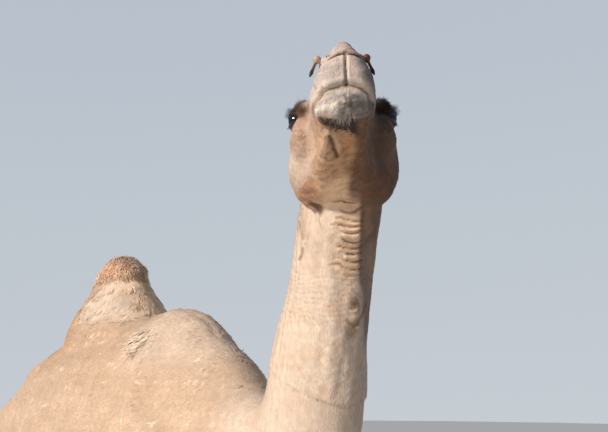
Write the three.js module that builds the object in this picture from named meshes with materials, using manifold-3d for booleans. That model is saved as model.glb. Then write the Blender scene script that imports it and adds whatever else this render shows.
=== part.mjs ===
// A dromedary camel at life size, standing square with its neck raised and its head turned to its right.
// Millimetres, +Z up. The camel looks along -Y, its left side is +X, and the origin is on the floor
// under the middle of its bounding box. Nothing moves: every mesh is a fixed part of one body.
//
// Flesh is made whole from lofts and then parted with cuts of GAP. Places on the body are given as
// [ahead, side, height]: ahead runs from under the hump towards the breast, side is positive to the left.

import * as THREE from "three";
import { mergeVertices } from "three/addons/utils/BufferGeometryUtils.js";
import Module from "manifold-3d";

const wasm = await Module();
wasm.setup();

// ---------------------------------------------------------------- driving dimensions
const WITHERS = 1910; // height of the withers
const HUMP_TOP = 2114; // height of the hump's flesh, under its wool
const ELBOW = { ahead: 540, height: 1235 }; // where the foreleg leaves the chest
const STIFLE = { ahead: -560, height: 1345 }; // where the hind leg leaves the flank
const KNEE = 655; // height of the foreleg's joint
const HOCK = 600; // height of the hind leg's joint
const NECK_BASE = 800; // where the neck leaves the breast, ahead of the hump
const TAIL_ROOT = { ahead: -822, height: 1600 };
const TUFT_TOP = 1236; // height where the tail's tuft starts
const CHEST_PAD = { at: [408, 0, 1106], size: [115, 72, 52] };
const ORIGIN = { ahead: 405, side: -2 }; // the middle of the bounding box, in body places
const GAP = 0.3; // clearance between parts that touch

const HEAD_AT = [1400, -95, 2250]; // midway between the eyes
const HEAD_TURN = 37; // degrees that the head is turned to the camel's right
const HEAD_LIFT = 18; // degrees that the nose is raised
const HEAD_ROLL = 1; // degrees that the left eye is above the right one
const EYE_RADIUS = 23;
const EYE_SIDE = 94; // each eye's centre from the head's middle plane
const LID_THICKNESS = 4.5;
const LIDS_OPEN = [36, -40]; // degrees above and below the eye's axis
const MOUTH_HEIGHT = -140; // the line of the mouth, in the head's own frame
const MOUTH_GAP = 3;
const THROAT_AT = [-178, 0, -60]; // a point on the cut between head and neck, in the head's own frame
const EAR = { root: [-152, 70, 78], length: 110, wide: 33, deep: 21, stub: 14 };
const PEG = { knob: [266, 46, -47], tip: [264, 60, -86] }; // in the wing of the nostril
const NAIL = { long: 26, wide: 23, tall: 17, height: 29, apart: 36 };
const CLEFT = { deep: 60, wide: 15, tall: 70 }; // between the two toes

const COAT = { color: 0xd9b98f, roughness: 0.92, metalness: 0 };
const DARK_COAT = { color: 0x8a5a38, roughness: 0.95, metalness: 0 };
const PAD_SKIN = { color: 0x6e5a49, roughness: 0.85, metalness: 0 };
const HORN = { color: 0x4a3d33, roughness: 0.5, metalness: 0 };
const EYEBALL = { color: 0x1a120d, roughness: 0.08, metalness: 0 };
const WOOD = { color: 0x6b4427, roughness: 0.6, metalness: 0 };

const rad = THREE.MathUtils.degToRad;

// ---------------------------------------------------------------- frames
const bodyPlace = (ahead, side, height) =>
  new THREE.Vector3(side - ORIGIN.side, ORIGIN.ahead - ahead, height);

// The head's own frame: forward along the mouth, side to the camel's left, up from between the eyes.
const headTurn = new THREE.Matrix4()
  .makeRotationZ(-rad(HEAD_TURN))
  .multiply(new THREE.Matrix4().makeRotationX(-rad(HEAD_LIFT)))
  .multiply(new THREE.Matrix4().makeRotationY(-rad(HEAD_ROLL)));
const headMatrix = headTurn.clone().setPosition(bodyPlace(...HEAD_AT));
const headPlace = (ahead, side, height) =>
  new THREE.Vector3(side, -ahead, height).applyMatrix4(headMatrix);

// ---------------------------------------------------------------- solids
function solidOf(geometry) {
  const bare = new THREE.BufferGeometry();
  bare.setAttribute("position", geometry.getAttribute("position"));
  bare.setIndex(geometry.index);
  const merged = mergeVertices(bare, 1e-3);
  return new wasm.Manifold(
    new wasm.Mesh({
      numProp: 3,
      vertProperties: merged.attributes.position.array,
      triVerts: new Uint32Array(merged.index.array),
    }),
  );
}

function geometryOf(solid) {
  const mesh = solid.getMesh();
  const geometry = new THREE.BufferGeometry();
  geometry.setAttribute("position", new THREE.BufferAttribute(mesh.vertProperties, 3));
  geometry.setIndex(new THREE.BufferAttribute(mesh.triVerts, 1));
  geometry.computeVertexNormals();
  return geometry;
}

const join = (solids) => wasm.Manifold.union(solids);

const largest = (solid) => solid.decompose().sort((a, b) => b.volume() - a.volume())[0];

// ---------------------------------------------------------------- lofts
const smoothStep = (a, b, c, d, t) =>
  0.5 * (2 * b + (c - a) * t + (2 * a - 5 * b + 4 * c - d) * t * t + (3 * b - a - 3 * c + d) * t ** 3);

// The section at a share u (0 to 1) of the way through a table of sections.
function sectionAt(rows, u) {
  const at = u * (rows.length - 1);
  const i = Math.min(Math.floor(at), rows.length - 2);
  const row = (k) => rows[Math.max(0, Math.min(rows.length - 1, k))];
  return rows[i].map((_, c) => smoothStep(row(i - 1)[c], row(i)[c], row(i + 1)[c], row(i + 2)[c], at - i));
}

// A ring of points: an oval in a plane that faces along tilt (up from ahead) and turn (to the right).
// up and down are its reach towards the back and the belly side, and egg narrows its upper half.
function ringOf(section, sides, place) {
  const { ahead, side = 0, height, tilt = 0, turn = 0, wide, up, down, egg = 0, square = 2 } = section;
  const points = [];
  for (let k = 0; k < sides; k++) {
    const angle = (2 * Math.PI * k) / sides;
    const c = Math.cos(angle);
    const s = Math.sin(angle);
    const power = 2 / square;
    const across = Math.sign(c) * Math.abs(c) ** power * wide * (1 - egg * s);
    const rise = Math.sign(s) * Math.abs(s) ** power * (s > 0 ? up : down);
    const forward = -Math.sin(rad(tilt)) * rise;
    points.push(
      place(
        ahead + forward * Math.cos(rad(turn)) + across * Math.sin(rad(turn)),
        side - forward * Math.sin(rad(turn)) + across * Math.cos(rad(turn)),
        height + Math.cos(rad(tilt)) * rise,
      ),
    );
  }
  return points;
}

// A closed skin over rings with equal numbers of points, with a fan over each end.
function skinOver(rings) {
  const sides = rings[0].length;
  const positions = rings.flat().flatMap((p) => p.toArray());
  const index = [];
  for (let r = 0; r + 1 < rings.length; r++) {
    for (let k = 0; k < sides; k++) {
      const a = r * sides + k;
      const b = r * sides + ((k + 1) % sides);
      index.push(a, b, a + sides, b, b + sides, a + sides);
    }
  }
  for (const [ring, first] of [[rings[0], 0], [rings.at(-1), (rings.length - 1) * sides]]) {
    const middle = ring.reduce((sum, p) => sum.add(p), new THREE.Vector3()).divideScalar(sides);
    const centre = positions.length / 3;
    positions.push(...middle.toArray());
    for (let k = 0; k < sides; k++) {
      const [a, b] = [first + k, first + ((k + 1) % sides)];
      index.push(...(first ? [a, b, centre] : [b, a, centre]));
    }
  }
  const geometry = new THREE.BufferGeometry();
  geometry.setAttribute("position", new THREE.Float32BufferAttribute(positions, 3));
  geometry.setIndex(index);
  if (volumeOf(positions, index) < 0) {
    for (let i = 0; i < index.length; i += 3) [index[i + 1], index[i + 2]] = [index[i + 2], index[i + 1]];
    geometry.setIndex(index);
  }
  return solidOf(geometry);
}

function volumeOf(positions, index) {
  const corner = (i) => new THREE.Vector3(...positions.slice(3 * i, 3 * i + 3));
  let volume = 0;
  for (let i = 0; i < index.length; i += 3)
    volume += corner(index[i]).dot(corner(index[i + 1]).cross(corner(index[i + 2]))) / 6;
  return volume;
}

// A loft through a table of sections: columns names each column, and grow swells every section a little.
function loft({ columns, rows, sides, rings, place = bodyPlace, grow = 0, mirror = 1, bend = (s) => s }) {
  const made = [];
  for (let r = 0; r <= rings; r++) {
    const values = sectionAt(rows, r / rings);
    const section = bend(Object.fromEntries(columns.map((name, i) => [name, values[i]])));
    section.side = (section.side ?? 0) * mirror;
    for (const size of ["wide", "up", "down"]) section[size] += grow;
    made.push(ringOf(section, sides, place));
  }
  return skinOver(made);
}

function ellipsoid(place, at, [long, wide, tall], segments) {
  const geometry = new THREE.SphereGeometry(1, segments, Math.round(segments * 0.6));
  geometry.scale(wide, long, tall);
  const centre = place(...at);
  if (place === headPlace) geometry.applyMatrix4(headTurn);
  return solidOf(geometry.translate(centre.x, centre.y, centre.z));
}

// A tapered rod through points, with a radius at each: ridges, folds, slits and the lips' edges.
function cord(points, radii, sides = 7, steps = 7) {
  const curve = new THREE.CatmullRomCurve3(points);
  const frames = curve.computeFrenetFrames(steps, false);
  const rings = [];
  for (let i = 0; i <= steps; i++) {
    const at = (i / steps) * (radii.length - 1);
    const low = Math.min(Math.floor(at), radii.length - 2);
    const radius = THREE.MathUtils.lerp(radii[low], radii[low + 1], at - low);
    const centre = curve.getPointAt(i / steps);
    rings.push(
      Array.from({ length: sides }, (_, k) => {
        const angle = (2 * Math.PI * k) / sides;
        return centre
          .clone()
          .addScaledVector(frames.normals[i], radius * Math.cos(angle))
          .addScaledVector(frames.binormals[i], radius * Math.sin(angle));
      }),
    );
  }
  return skinOver(rings);
}

// A flat, tapered lock of hair that starts sunk below its root, follows its lie and bends by droop.
function lock(root, lie, out, { length, wide, thick, droop = 0, sunk = 12, steps = 2 }) {
  const across = new THREE.Vector3().crossVectors(lie, out).normalize();
  const rings = [];
  for (let i = 0; i <= steps; i++) {
    const t = i / steps;
    const centre = root
      .clone()
      .addScaledVector(out, -sunk * (1 - t) + thick * 0.5)
      .addScaledVector(lie, length * t)
      .addScaledVector(out, -droop * t * t);
    const w = (wide / 2) * Math.max(0.12, 1 - t ** 1.6);
    const h = (thick / 2) * Math.max(0.2, 1 - 0.7 * t);
    rings.push([
      centre.clone().addScaledVector(across, w),
      centre.clone().addScaledVector(out, h),
      centre.clone().addScaledVector(across, -w),
      centre.clone().addScaledVector(out, -h),
    ]);
  }
  return skinOver(rings);
}

// A small seeded generator, so that every lock has its own length and lie and each build is the same.
function seeded(seed) {
  let state = seed;
  return () => {
    state = (state * 1664525 + 1013904223) % 4294967296;
    return state / 4294967296;
  };
}

// ---------------------------------------------------------------- trunk, hump and neck
const TRUNK = {
  columns: ["ahead", "height", "wide", "up", "down", "egg"],
  // ahead, back line, belly line, half width, narrowing of the back
  rows: [
    [-818, 1560, 1440, 55, 0],
    [-797, 1632, 1372, 122, 0.05],
    [-730, 1706, 1312, 184, 0.1],
    [-630, 1768, 1282, 226, 0.14],
    [-480, 1820, 1272, 258, 0.16],
    [-300, 1852, 1212, 290, 0.14],
    [-100, 1870, 1148, 314, 0.12],
    [100, 1882, 1104, 318, 0.12],
    [300, 1893, 1086, 292, 0.16],
    [450, WITHERS, 1092, 256, 0.22],
    [580, 1882, 1128, 220, 0.26],
    [690, 1818, 1190, 184, 0.22],
    [780, 1718, 1268, 136, 0.12],
    [832, 1595, 1390, 62, 0],
  ].map(([ahead, top, bottom, wide, egg]) => {
    const height = bottom + (top - bottom) * 0.45;
    return [ahead, height, wide, top - height, height - bottom, egg];
  }),
};

const HUMP = {
  columns: ["height", "ahead", "up", "down", "wide"],
  // height, middle, reach ahead, reach behind, half width
  rows: [
    [1640, -20, 400, 400, 140],
    [1780, -22, 375, 385, 172],
    [1850, -25, 318, 345, 168],
    [1910, -28, 248, 322, 142],
    [1965, -32, 184, 276, 108],
    [2020, -36, 132, 200, 80],
    [2065, -40, 92, 118, 60],
    [2095, -42, 56, 60, 38],
    [HUMP_TOP, -44, 20, 22, 15],
  ],
};

const NECK = {
  columns: ["ahead", "height", "side", "tilt", "turn", "wide", "up", "down", "egg"],
  rows: [
    [560, 1575, 0, 0, 0, 168, 262, 270, 0.15],
    [700, 1552, 0, -4, 0, 158, 250, 280, 0.15],
    [820, 1522, 0, -4, 0, 142, 208, 234, 0.12],
    [930, 1494, 0, 4, 0, 128, 174, 198, 0.08],
    [1040, 1508, -3, 24, 0, 118, 150, 170, 0.04],
    [1128, 1585, -8, 48, -2, 110, 138, 153, 0],
    [1180, 1695, -13, 66, -5, 102, 134, 140, 0],
    [1208, 1810, -14, 73, 10, 95, 131, 132, 0],
    [1234, 1930, -11, 75, 21, 90, 126, 124, 0],
    [1257, 2030, -8, 74, 31, 94, 118, 115, 0],
    [1273, 2110, -4, 70, 36, 95, 104, 99, 0],
    [1302, 2180, -16, 52, 36, 88, 94, 92, 0],
    [1335, 2232, -38, 36, 36, 72, 76, 72, 0],
  ],
};

// ---------------------------------------------------------------- legs
// Sections go down the leg: tilt -90 makes "up" the front of the leg and "down" its back.
const LEG_COLUMNS = ["ahead", "height", "side", "wide", "up", "down", "tilt"];
const downwards = (rows) => rows.map((row) => [...row, -90]);

const FORELEG = downwards([
  [556, 1720, 62, 34, 62, 62],
  [578, 1575, 142, 68, 118, 112],
  [592, 1440, 180, 84, 150, 132],
  [575, 1330, 194, 86, 146, 128],
  [532, 1235, 194, 82, 116, 116],
  [500, 1150, 186, 74, 92, 96],
  [488, 1040, 176, 63, 74, 74],
  [482, 920, 167, 54, 61, 59],
  [480, 800, 161, 47, 51, 50],
  [481, 720, 158, 50, 57, 50],
  [484, 655, 156, 57, 70, 52],
  [481, 590, 155, 52, 60, 50],
  [473, 520, 155, 41, 43, 45],
  [470, 410, 155, 36, 38, 41],
  [468, 300, 156, 36, 37, 41],
  [468, 232, 157, 43, 43, 47],
  [473, 186, 158, 53, 52, 55],
  [486, 142, 159, 53, 54, 50],
  [503, 104, 160, 64, 68, 62],
  [516, 64, 160, 86, 90, 84],
  [520, 32, 160, 95, 100, 94],
  [520, 10, 160, 94, 99, 93],
  [520, 0, 160, 87, 92, 86],
]);

const HINDLEG = downwards([
  [-640, 1690, 55, 38, 75, 55],
  [-618, 1596, 124, 84, 180, 140],
  [-594, 1470, 170, 102, 216, 186],
  [-566, 1350, 188, 102, 206, 186],
  [-532, 1240, 196, 95, 172, 168],
  [-512, 1140, 192, 84, 132, 138],
  [-540, 1040, 181, 70, 106, 112],
  [-598, 930, 168, 57, 84, 82],
  [-660, 820, 157, 47, 64, 60],
  [-716, 725, 150, 42, 52, 54],
  [-754, 655, 146, 44, 52, 64],
  [-766, 602, 145, 48, 56, 68],
  [-764, 540, 145, 44, 51, 54],
  [-756, 465, 146, 36, 40, 42],
  [-748, 350, 148, 33, 36, 38],
  [-742, 250, 150, 35, 38, 41],
  [-738, 202, 151, 44, 45, 49],
  [-730, 162, 152, 49, 51, 50],
  [-714, 124, 153, 52, 54, 49],
  [-697, 90, 154, 63, 64, 60],
  [-682, 56, 154, 78, 82, 76],
  [-678, 28, 154, 86, 90, 84],
  [-678, 9, 154, 85, 89, 83],
  [-678, 0, 154, 78, 82, 76],
]);

// stride moves a foot ahead of where it would stand square, easing to nothing at the body.
const LEGS = [
  { name: "foreleg_left", rows: FORELEG, mirror: 1, stride: -35, fore: true },
  { name: "foreleg_right", rows: FORELEG, mirror: -1, stride: 45, fore: true },
  { name: "hindleg_left", rows: HINDLEG, mirror: 1, stride: 55, fore: false },
  { name: "hindleg_right", rows: HINDLEG, mirror: -1, stride: -40, fore: false },
];
const STRIDE_FROM = 1250; // height where the stride starts
const strideAt = (stride, height) => {
  const t = THREE.MathUtils.clamp((STRIDE_FROM - height) / STRIDE_FROM, 0, 1);
  return stride * Math.min(1, 1.15 * t);
};

function legSolid({ rows, mirror, stride }, grow = 0) {
  return loft({
    columns: LEG_COLUMNS,
    rows,
    sides: 12,
    rings: 20,
    grow,
    mirror,
    bend: (s) => ({ ...s, ahead: s.ahead + strideAt(stride, s.height) }),
  });
}

// ---------------------------------------------------------------- head
const HEAD_COLUMNS = ["ahead", "height", "wide", "up", "down", "egg", "square"];
// ahead, top line, lower line, half width, egg, squareness; the height is where the head is widest
const headRows = (rows) =>
  rows.map(([ahead, top, widest, bottom, wide, egg, square]) => [
    ahead, widest, wide, top - widest, widest - bottom, egg, square,
  ]);

// Skull, face and upper jaw, down to the line of the mouth in front and to the throat behind.
const SKULL = headRows([
  [-232, 30, -40, -100, 45, 0, 2],
  [-212, 66, -45, -128, 74, 0.05, 2],
  [-170, 94, -50, -150, 100, 0.05, 2.1],
  [-120, 104, -55, -160, 118, 0.06, 2.2],
  [-70, 102, -52, -158, 120, 0.04, 2.2],
  [-25, 92, -44, -150, 111, 0.02, 2.2],
  [20, 72, -44, -140, 86, 0, 2.3],
  [65, 55, -52, -136, 69, 0.12, 2.3],
  [120, 45, -62, -136, 61, 0.22, 2.3],
  [175, 36, -74, -137, 58, 0.32, 2.2],
  [215, 22, -84, -138, 57, 0.42, 2.2],
  [250, 6, -92, -139, 55, 0.5, 2.2],
  [275, -11, -94, -139, 50, 0.5, 2.1],
  [294, -31, -96, -138, 41, 0.42, 2],
  [306, -50, -98, -132, 29, 0.3, 2],
  [311, -70, -98, -120, 14, 0.1, 2],
]);

// Lower jaw, from its angle below the ears to the chin and lower lip.
const JAW = headRows([
  [-168, -90, -112, -138, 50, 0, 2],
  [-140, -66, -110, -156, 88, 0.1, 2],
  [-95, -50, -106, -167, 106, 0.2, 2.1],
  [-40, -50, -108, -168, 96, 0.2, 2.2],
  [20, -80, -118, -168, 71, 0.12, 2.2],
  [90, -100, -134, -170, 52, 0.1, 2.2],
  [160, -114, -142, -173, 46, 0.05, 2.2],
  [210, -120, -150, -180, 50, 0, 2.2],
  [245, -126, -156, -188, 53, 0, 2.3],
  [270, -130, -158, -188, 48, 0, 2.2],
  [285, -134, -157, -178, 32, 0, 2.1],
  [291, -140, -155, -168, 14, 0, 2],
]);

const eyeCentre = (mirror) => headPlace(0, EYE_SIDE * mirror, 0);

// A thick shell round the eyeball, and the wedge between the lids, which hinge on the eye's corners.
function lids(mirror) {
  const shell = new THREE.SphereGeometry(EYE_RADIUS + LID_THICKNESS, 14, 9);
  const reach = 60;
  const wedge = new THREE.Shape();
  wedge.moveTo(3, 0);
  for (const angle of LIDS_OPEN) wedge.lineTo(reach * Math.cos(rad(angle)), reach * Math.sin(rad(angle)));
  wedge.closePath();
  const opening = new THREE.ExtrudeGeometry(wedge, { depth: 2 * reach, bevelEnabled: false });
  const outward = new THREE.Vector3(0.86 * mirror, -0.5, -0.1).normalize();
  const upward = new THREE.Vector3(0.1 * mirror, -0.03, 1).normalize();
  const alongHead = new THREE.Vector3().crossVectors(outward, upward);
  opening.translate(0, 0, -reach).applyMatrix4(new THREE.Matrix4().makeBasis(outward, upward, alongHead));
  const centre = eyeCentre(mirror);
  const place = (g) => solidOf(g.applyMatrix4(headTurn).translate(centre.x, centre.y, centre.z));
  return { shell: place(shell), opening: place(opening) };
}

const along = (points) => points.map((p) => headPlace(...p));
const mirrored = (points, mirror) => along(points.map(([a, s, h]) => [a, s * mirror, h]));

// A flat band that cuts the line of the mouth round the lips, in to where the lips press together.
function mouthCut() {
  const closed = [[168, 42], [210, 49], [248, 48], [270, 41], [284, 24], [288, 0]];
  const corner = closed[0][0];
  const reach = 360;
  const band = new THREE.Shape();
  band.moveTo(corner, reach / 4);
  band.lineTo(reach, reach / 4);
  band.lineTo(reach, -reach / 4);
  band.lineTo(corner, -reach / 4);
  for (const [ahead, half] of closed) band.lineTo(ahead, -half);
  for (const [ahead, half] of closed.toReversed().slice(1)) band.lineTo(ahead, half);
  band.closePath();
  const cut = new THREE.ExtrudeGeometry(band, { depth: MOUTH_GAP, bevelEnabled: false });
  // the band's x runs ahead and its y to the left side
  cut.rotateZ(-Math.PI / 2).translate(0, 0, MOUTH_HEIGHT - MOUTH_GAP / 2);
  return solidOf(cut.applyMatrix4(headMatrix));
}

function headFeatures(mirror) {
  const side = (points) => mirrored(points, mirror);
  return [
    // brow over the eye, from the face to the temple
    cord(side([[42, 68, 14], [18, 84, 25], [-12, 92, 28], [-45, 92, 22]]), [9, 15, 16, 8]),
    // wing of the nostril, above its slit
    cord(side([[305, 4, -53], [292, 21, -49], [276, 37, -49], [254, 46, -52]]), [5, 7, 7, 4]),
    // half of the split upper lip, and its droop at the side
    ellipsoid(headPlace, [270, 26 * mirror, -110], [41, 30, 37], 12),
    ellipsoid(headPlace, [224, 37 * mirror, -118], [58, 27, 30], 10),
    // fold at the corner of the mouth
    cord(side([[196, 46, -122], [168, 47, -133], [146, 42, -147]]), [7, 9, 6]),
  ];
}

// ---------------------------------------------------------------- long hair
const random = seeded(7);
const spread = (size) => (random() - 0.5) * size;
const headWay = (side, back, rise) =>
  new THREE.Vector3(side, back, rise).normalize().transformDirection(headTurn);

// The upper lashes, which fan out over the eye.
function lashes(mirror) {
  const count = 7;
  return Array.from({ length: count }, (_, i) => {
    const angle = rad(145 - (110 * i) / (count - 1));
    const root = headPlace(
      -Math.cos(angle) * EYE_RADIUS,
      (EYE_SIDE + 16) * mirror,
      Math.sin(angle) * 15 + 4,
    );
    const lie = headWay(mirror * (0.85 + spread(0.2)), Math.cos(angle) * 0.55, 0.42 + spread(0.15));
    const out = headWay(-0.4 * mirror, 0, 1);
    const length = 20 + spread(6);
    return lock(root, lie, out, { length, wide: 10, thick: 4, droop: 4, sunk: 5, steps: 1 });
  });
}

// Long hair of the crown, swept back from between the ears.
function pollTuft() {
  const made = [];
  for (const [row, count] of [3, 4, 3].entries()) {
    for (let k = 0; k < count; k++) {
      const side = (k - (count - 1) / 2) * 27 + spread(8);
      const root = headPlace(-126 - 36 * row, side, 100 - 10 * row - Math.abs(side) * 0.3);
      const lie = headWay(side * 0.008, 0.9, 0.08 - 0.14 * row);
      const out = headWay(side * 0.004, 0.28 * row, 1);
      const size = { length: 62 + spread(20), wide: 38, thick: 14, droop: 18, sunk: 13 };
      made.push(lock(root, lie, out, size));
    }
  }
  return made;
}

// A point on the hump at a height, at an angle round it from the front, and the way out there.
function humpSurface(height, angle) {
  const shareAt = (low, high) => {
    const middle = (low + high) / 2;
    if (high - low < 1e-4) return middle;
    return sectionAt(HUMP.rows, middle)[0] < height ? shareAt(middle, high) : shareAt(low, middle);
  };
  const [, ahead, front, back, wide] = sectionAt(HUMP.rows, shareAt(0, 1));
  const c = Math.cos(angle);
  const s = Math.sin(angle);
  const reach = c > 0 ? front : back;
  const root = bodyPlace(ahead + reach * c, wide * s, height);
  const out = new THREE.Vector3(s / wide, -c / reach, 0).normalize();
  return { root, out };
}

// Locks of wool in rings round the top of the hump, each lying over the ring below.
function humpWool() {
  const made = [];
  const rings = [[2046, 8, 68, 14], [2072, 7, 66, 20], [2094, 5, 62, 24], [HUMP_TOP - 5, 3, 56, 26]];
  for (const [row, [height, count, wide, thick]] of rings.entries()) {
    for (let k = 0; k < count; k++) {
      const angle = (2 * Math.PI * (k + 0.5 * (row % 2) + spread(0.3))) / count;
      const { root, out } = humpSurface(height, angle);
      const lie = humpSurface(height - 45, angle).root.sub(root).normalize();
      const away = out.addScaledVector(lie, -out.dot(lie)).normalize();
      const size = { length: 56 + spread(14), wide, thick, droop: 3, sunk: 9 };
      made.push(lock(root.addScaledVector(away, 2), lie, away, size));
    }
  }
  return made;
}

// Locks that hang from the end of the tail.
function tailLocks() {
  const made = [];
  const rings = [[1212, 4, 125], [1158, 3, 135], [1096, 3, 140]];
  for (const [row, [height, count, length]] of rings.entries()) {
    for (let k = 0; k < count; k++) {
      const angle = (2 * Math.PI * (k + 0.5 * (row % 2) + spread(0.2))) / count;
      const out = new THREE.Vector3(Math.cos(angle), Math.sin(angle), 0);
      const root = bodyPlace(-855, 5, height).addScaledVector(out, 9 - 2 * row);
      const lie = out.clone().multiplyScalar(0.13 + spread(0.06)).addScaledVector(up, -1).normalize();
      const size = { length: length + spread(24), wide: 32, thick: 14, droop: 12, sunk: 8 };
      made.push(lock(root, lie, out, size));
    }
  }
  return made;
}

// ---------------------------------------------------------------- ears
// Each ear points back and up, with its cup facing out and forward. Its stub stays with the head.
function earSolids(mirror) {
  const lie = new THREE.Vector3(0.2 * mirror, 0.72, 0.66).normalize();
  const open = new THREE.Vector3(0.85 * mirror, -0.45, 0.2);
  open.addScaledVector(lie, -open.dot(lie)).normalize();
  const across = new THREE.Vector3().crossVectors(lie, open).normalize();
  for (const v of [lie, open, across]) v.transformDirection(headTurn);
  const [ahead, side, height] = EAR.root;
  const root = headPlace(ahead, side * mirror, height);
  const breadth = (t) => Math.max(0.04, Math.sin(Math.PI * Math.min(1, 0.16 + 0.84 * t)) ** 0.8);
  const leaf = ({ from, to, steps, wide, deep, shift = 0 }) =>
    skinOver(
      Array.from({ length: steps + 1 }, (_, i) => {
        const t = from + ((to - from) * i) / steps;
        const centre = root
          .clone()
          .addScaledVector(lie, EAR.length * t)
          .addScaledVector(open, shift + 10 * t * t);
        return Array.from({ length: 10 }, (_, k) => {
          const angle = (2 * Math.PI * k) / 10;
          return centre
            .clone()
            .addScaledVector(across, breadth(t) * wide * Math.cos(angle))
            .addScaledVector(open, breadth(t) * deep * Math.sin(angle));
        });
      }),
    );
  const outside = { from: -0.18, to: 1, steps: 8 };
  const cut = root.clone().addScaledVector(lie, EAR.stub);
  const whole = leaf({ ...outside, wide: EAR.wide, deep: EAR.deep });
  const cup = leaf({ from: 0.16, to: 0.93, steps: 6, wide: EAR.wide - 8, deep: EAR.deep - 2, shift: 13 });
  const room = leaf({ ...outside, to: 1.02, wide: EAR.wide + 2 * GAP, deep: EAR.deep + 2 * GAP });
  const cupped = whole.subtract(cup);
  return {
    blade: cupped.intersect(beyond(cut, lie, GAP / 2)),
    stub: cupped.subtract(beyond(cut, lie, -GAP / 2)),
    room: room.intersect(beyond(cut, lie, -GAP / 2)),
  };
}

// ---------------------------------------------------------------- tail, nails and nose pegs
const TAIL = downwards([
  [-770, 1655, 0, 48, 50, 50],
  [-806, 1618, 0, 42, 40, 44],
  [-836, 1550, 0, 31, 27, 28],
  [-850, 1460, 0, 22, 19, 20],
  [-856, 1360, 1, 17, 15, 15],
  [-857, 1260, 3, 14, 12, 12],
  [-856, 1160, 4, 13, 11, 11],
  [-853, 1070, 6, 11, 9, 9],
  [-851, 1020, 7, 6, 5, 5],
]);
const tailSolid = (grow = 0) => loft({ columns: LEG_COLUMNS, rows: TAIL, sides: 10, rings: 14, grow });

// A nail over the front of each toe, sunk in the foot.
function nailSolid(leg, toe, grow) {
  const [footAhead, , footSide, , footFront] = leg.rows.at(-3);
  const at = bodyPlace(
    footAhead + leg.stride + footFront - NAIL.long / 2,
    footSide * leg.mirror + toe * NAIL.apart,
    NAIL.height,
  );
  const geometry = new THREE.SphereGeometry(1, 8, 5);
  geometry.scale(NAIL.wide + grow, NAIL.long + grow, NAIL.tall + grow);
  return solidOf(geometry.translate(at.x, at.y, at.z));
}

// The cleft between the two toes, a wedge that opens to the front of the foot.
function cleftSolid(leg) {
  const [footAhead, , footSide, , footFront] = leg.rows.at(-3);
  const at = bodyPlace(footAhead + leg.stride + footFront - CLEFT.deep, footSide * leg.mirror, 0);
  const wedge = new THREE.Shape([
    new THREE.Vector2(0, 0),
    new THREE.Vector2(CLEFT.wide / 2, -1.5 * CLEFT.deep),
    new THREE.Vector2(-CLEFT.wide / 2, -1.5 * CLEFT.deep),
  ]);
  const geometry = new THREE.ExtrudeGeometry(wedge, { depth: 2 * CLEFT.tall, bevelEnabled: false });
  return solidOf(geometry.translate(at.x, at.y, at.z - CLEFT.tall));
}

// A turned wooden peg through the wing of the nostril, knob above and point below.
function pegSolid(mirror, grow) {
  const [knob, tip] = mirrored([PEG.knob, PEG.tip], mirror);
  const length = knob.distanceTo(tip);
  const profile = [
    [0, -6 - grow],
    [7, -5 - grow],
    [9, 0],
    [7, 5],
    [4.5, 8],
    [4, length * 0.7],
    [5, length * 0.85],
    [0, length + 2 * grow],
  ];
  const outline = profile.map(([r, y]) => new THREE.Vector2(r && r + grow, y));
  const geometry = new THREE.LatheGeometry(outline, 12);
  const axis = tip.clone().sub(knob).normalize();
  geometry.applyQuaternion(new THREE.Quaternion().setFromUnitVectors(new THREE.Vector3(0, 1, 0), axis));
  return solidOf(geometry.translate(knob.x, knob.y, knob.z));
}

// ---------------------------------------------------------------- parting
const up = new THREE.Vector3(0, 0, 1);
const down = new THREE.Vector3(0, 0, -1);

// A half space as a large box whose face passes through a point, on the side that the normal points to.
function beyond(point, normal, shift = 0) {
  const reach = 8000;
  const box = new THREE.BoxGeometry(reach, reach, reach).translate(0, 0, reach / 2 + shift);
  const turn = new THREE.Quaternion().setFromUnitVectors(up, normal.clone().normalize());
  box.applyQuaternion(turn).translate(point.x, point.y, point.z);
  return solidOf(box);
}

// Both sides of a thin cut: [beyond the plane, before it].
function part(solid, point, normal) {
  return [
    solid.intersect(beyond(point, normal, GAP / 2)),
    solid.subtract(beyond(point, normal, -GAP / 2)),
  ];
}

// The room over the back that the hump fills, with its outline grown by a little.
function humpRoom(grow) {
  const outline = [
    [-480 - grow, 2400],
    [-425 - grow, 1838 - grow],
    [330 + grow, 1866 - grow],
    [400 + grow, 2400],
  ];
  const shape = new THREE.Shape(outline.map(([ahead, height]) => new THREE.Vector2(ahead, height)));
  const reach = 500;
  const geometry = new THREE.ExtrudeGeometry(shape, { depth: 2 * reach, bevelEnabled: false });
  const [x, y, z] = [new THREE.Vector3(0, -1, 0), up, new THREE.Vector3(-1, 0, 0)];
  geometry.applyMatrix4(new THREE.Matrix4().makeBasis(x, y, z));
  const at = bodyPlace(0, 0, 0);
  return solidOf(geometry.translate(at.x + reach, at.y, at.z));
}

// ---------------------------------------------------------------- the model
const camel = new THREE.Group();
function add(name, solid, look) {
  const mesh = new THREE.Mesh(geometryOf(largest(solid)), new THREE.MeshStandardMaterial(look));
  mesh.name = name;
  camel.add(mesh);
}

const trunk = loft({ ...TRUNK, sides: 22, rings: 17 });
const hump = loft({
  ...HUMP,
  sides: 20,
  rings: 9,
  bend: (s) => ({ ...s, tilt: 90, up: s.down, down: s.up }),
});
const neck = loft({ ...NECK, sides: 20, rings: 18 });
const skull = loft({ columns: HEAD_COLUMNS, rows: SKULL, sides: 22, rings: 19, place: headPlace });
const jaw = loft({ columns: HEAD_COLUMNS, rows: JAW, sides: 16, rings: 11, place: headPlace });

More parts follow.
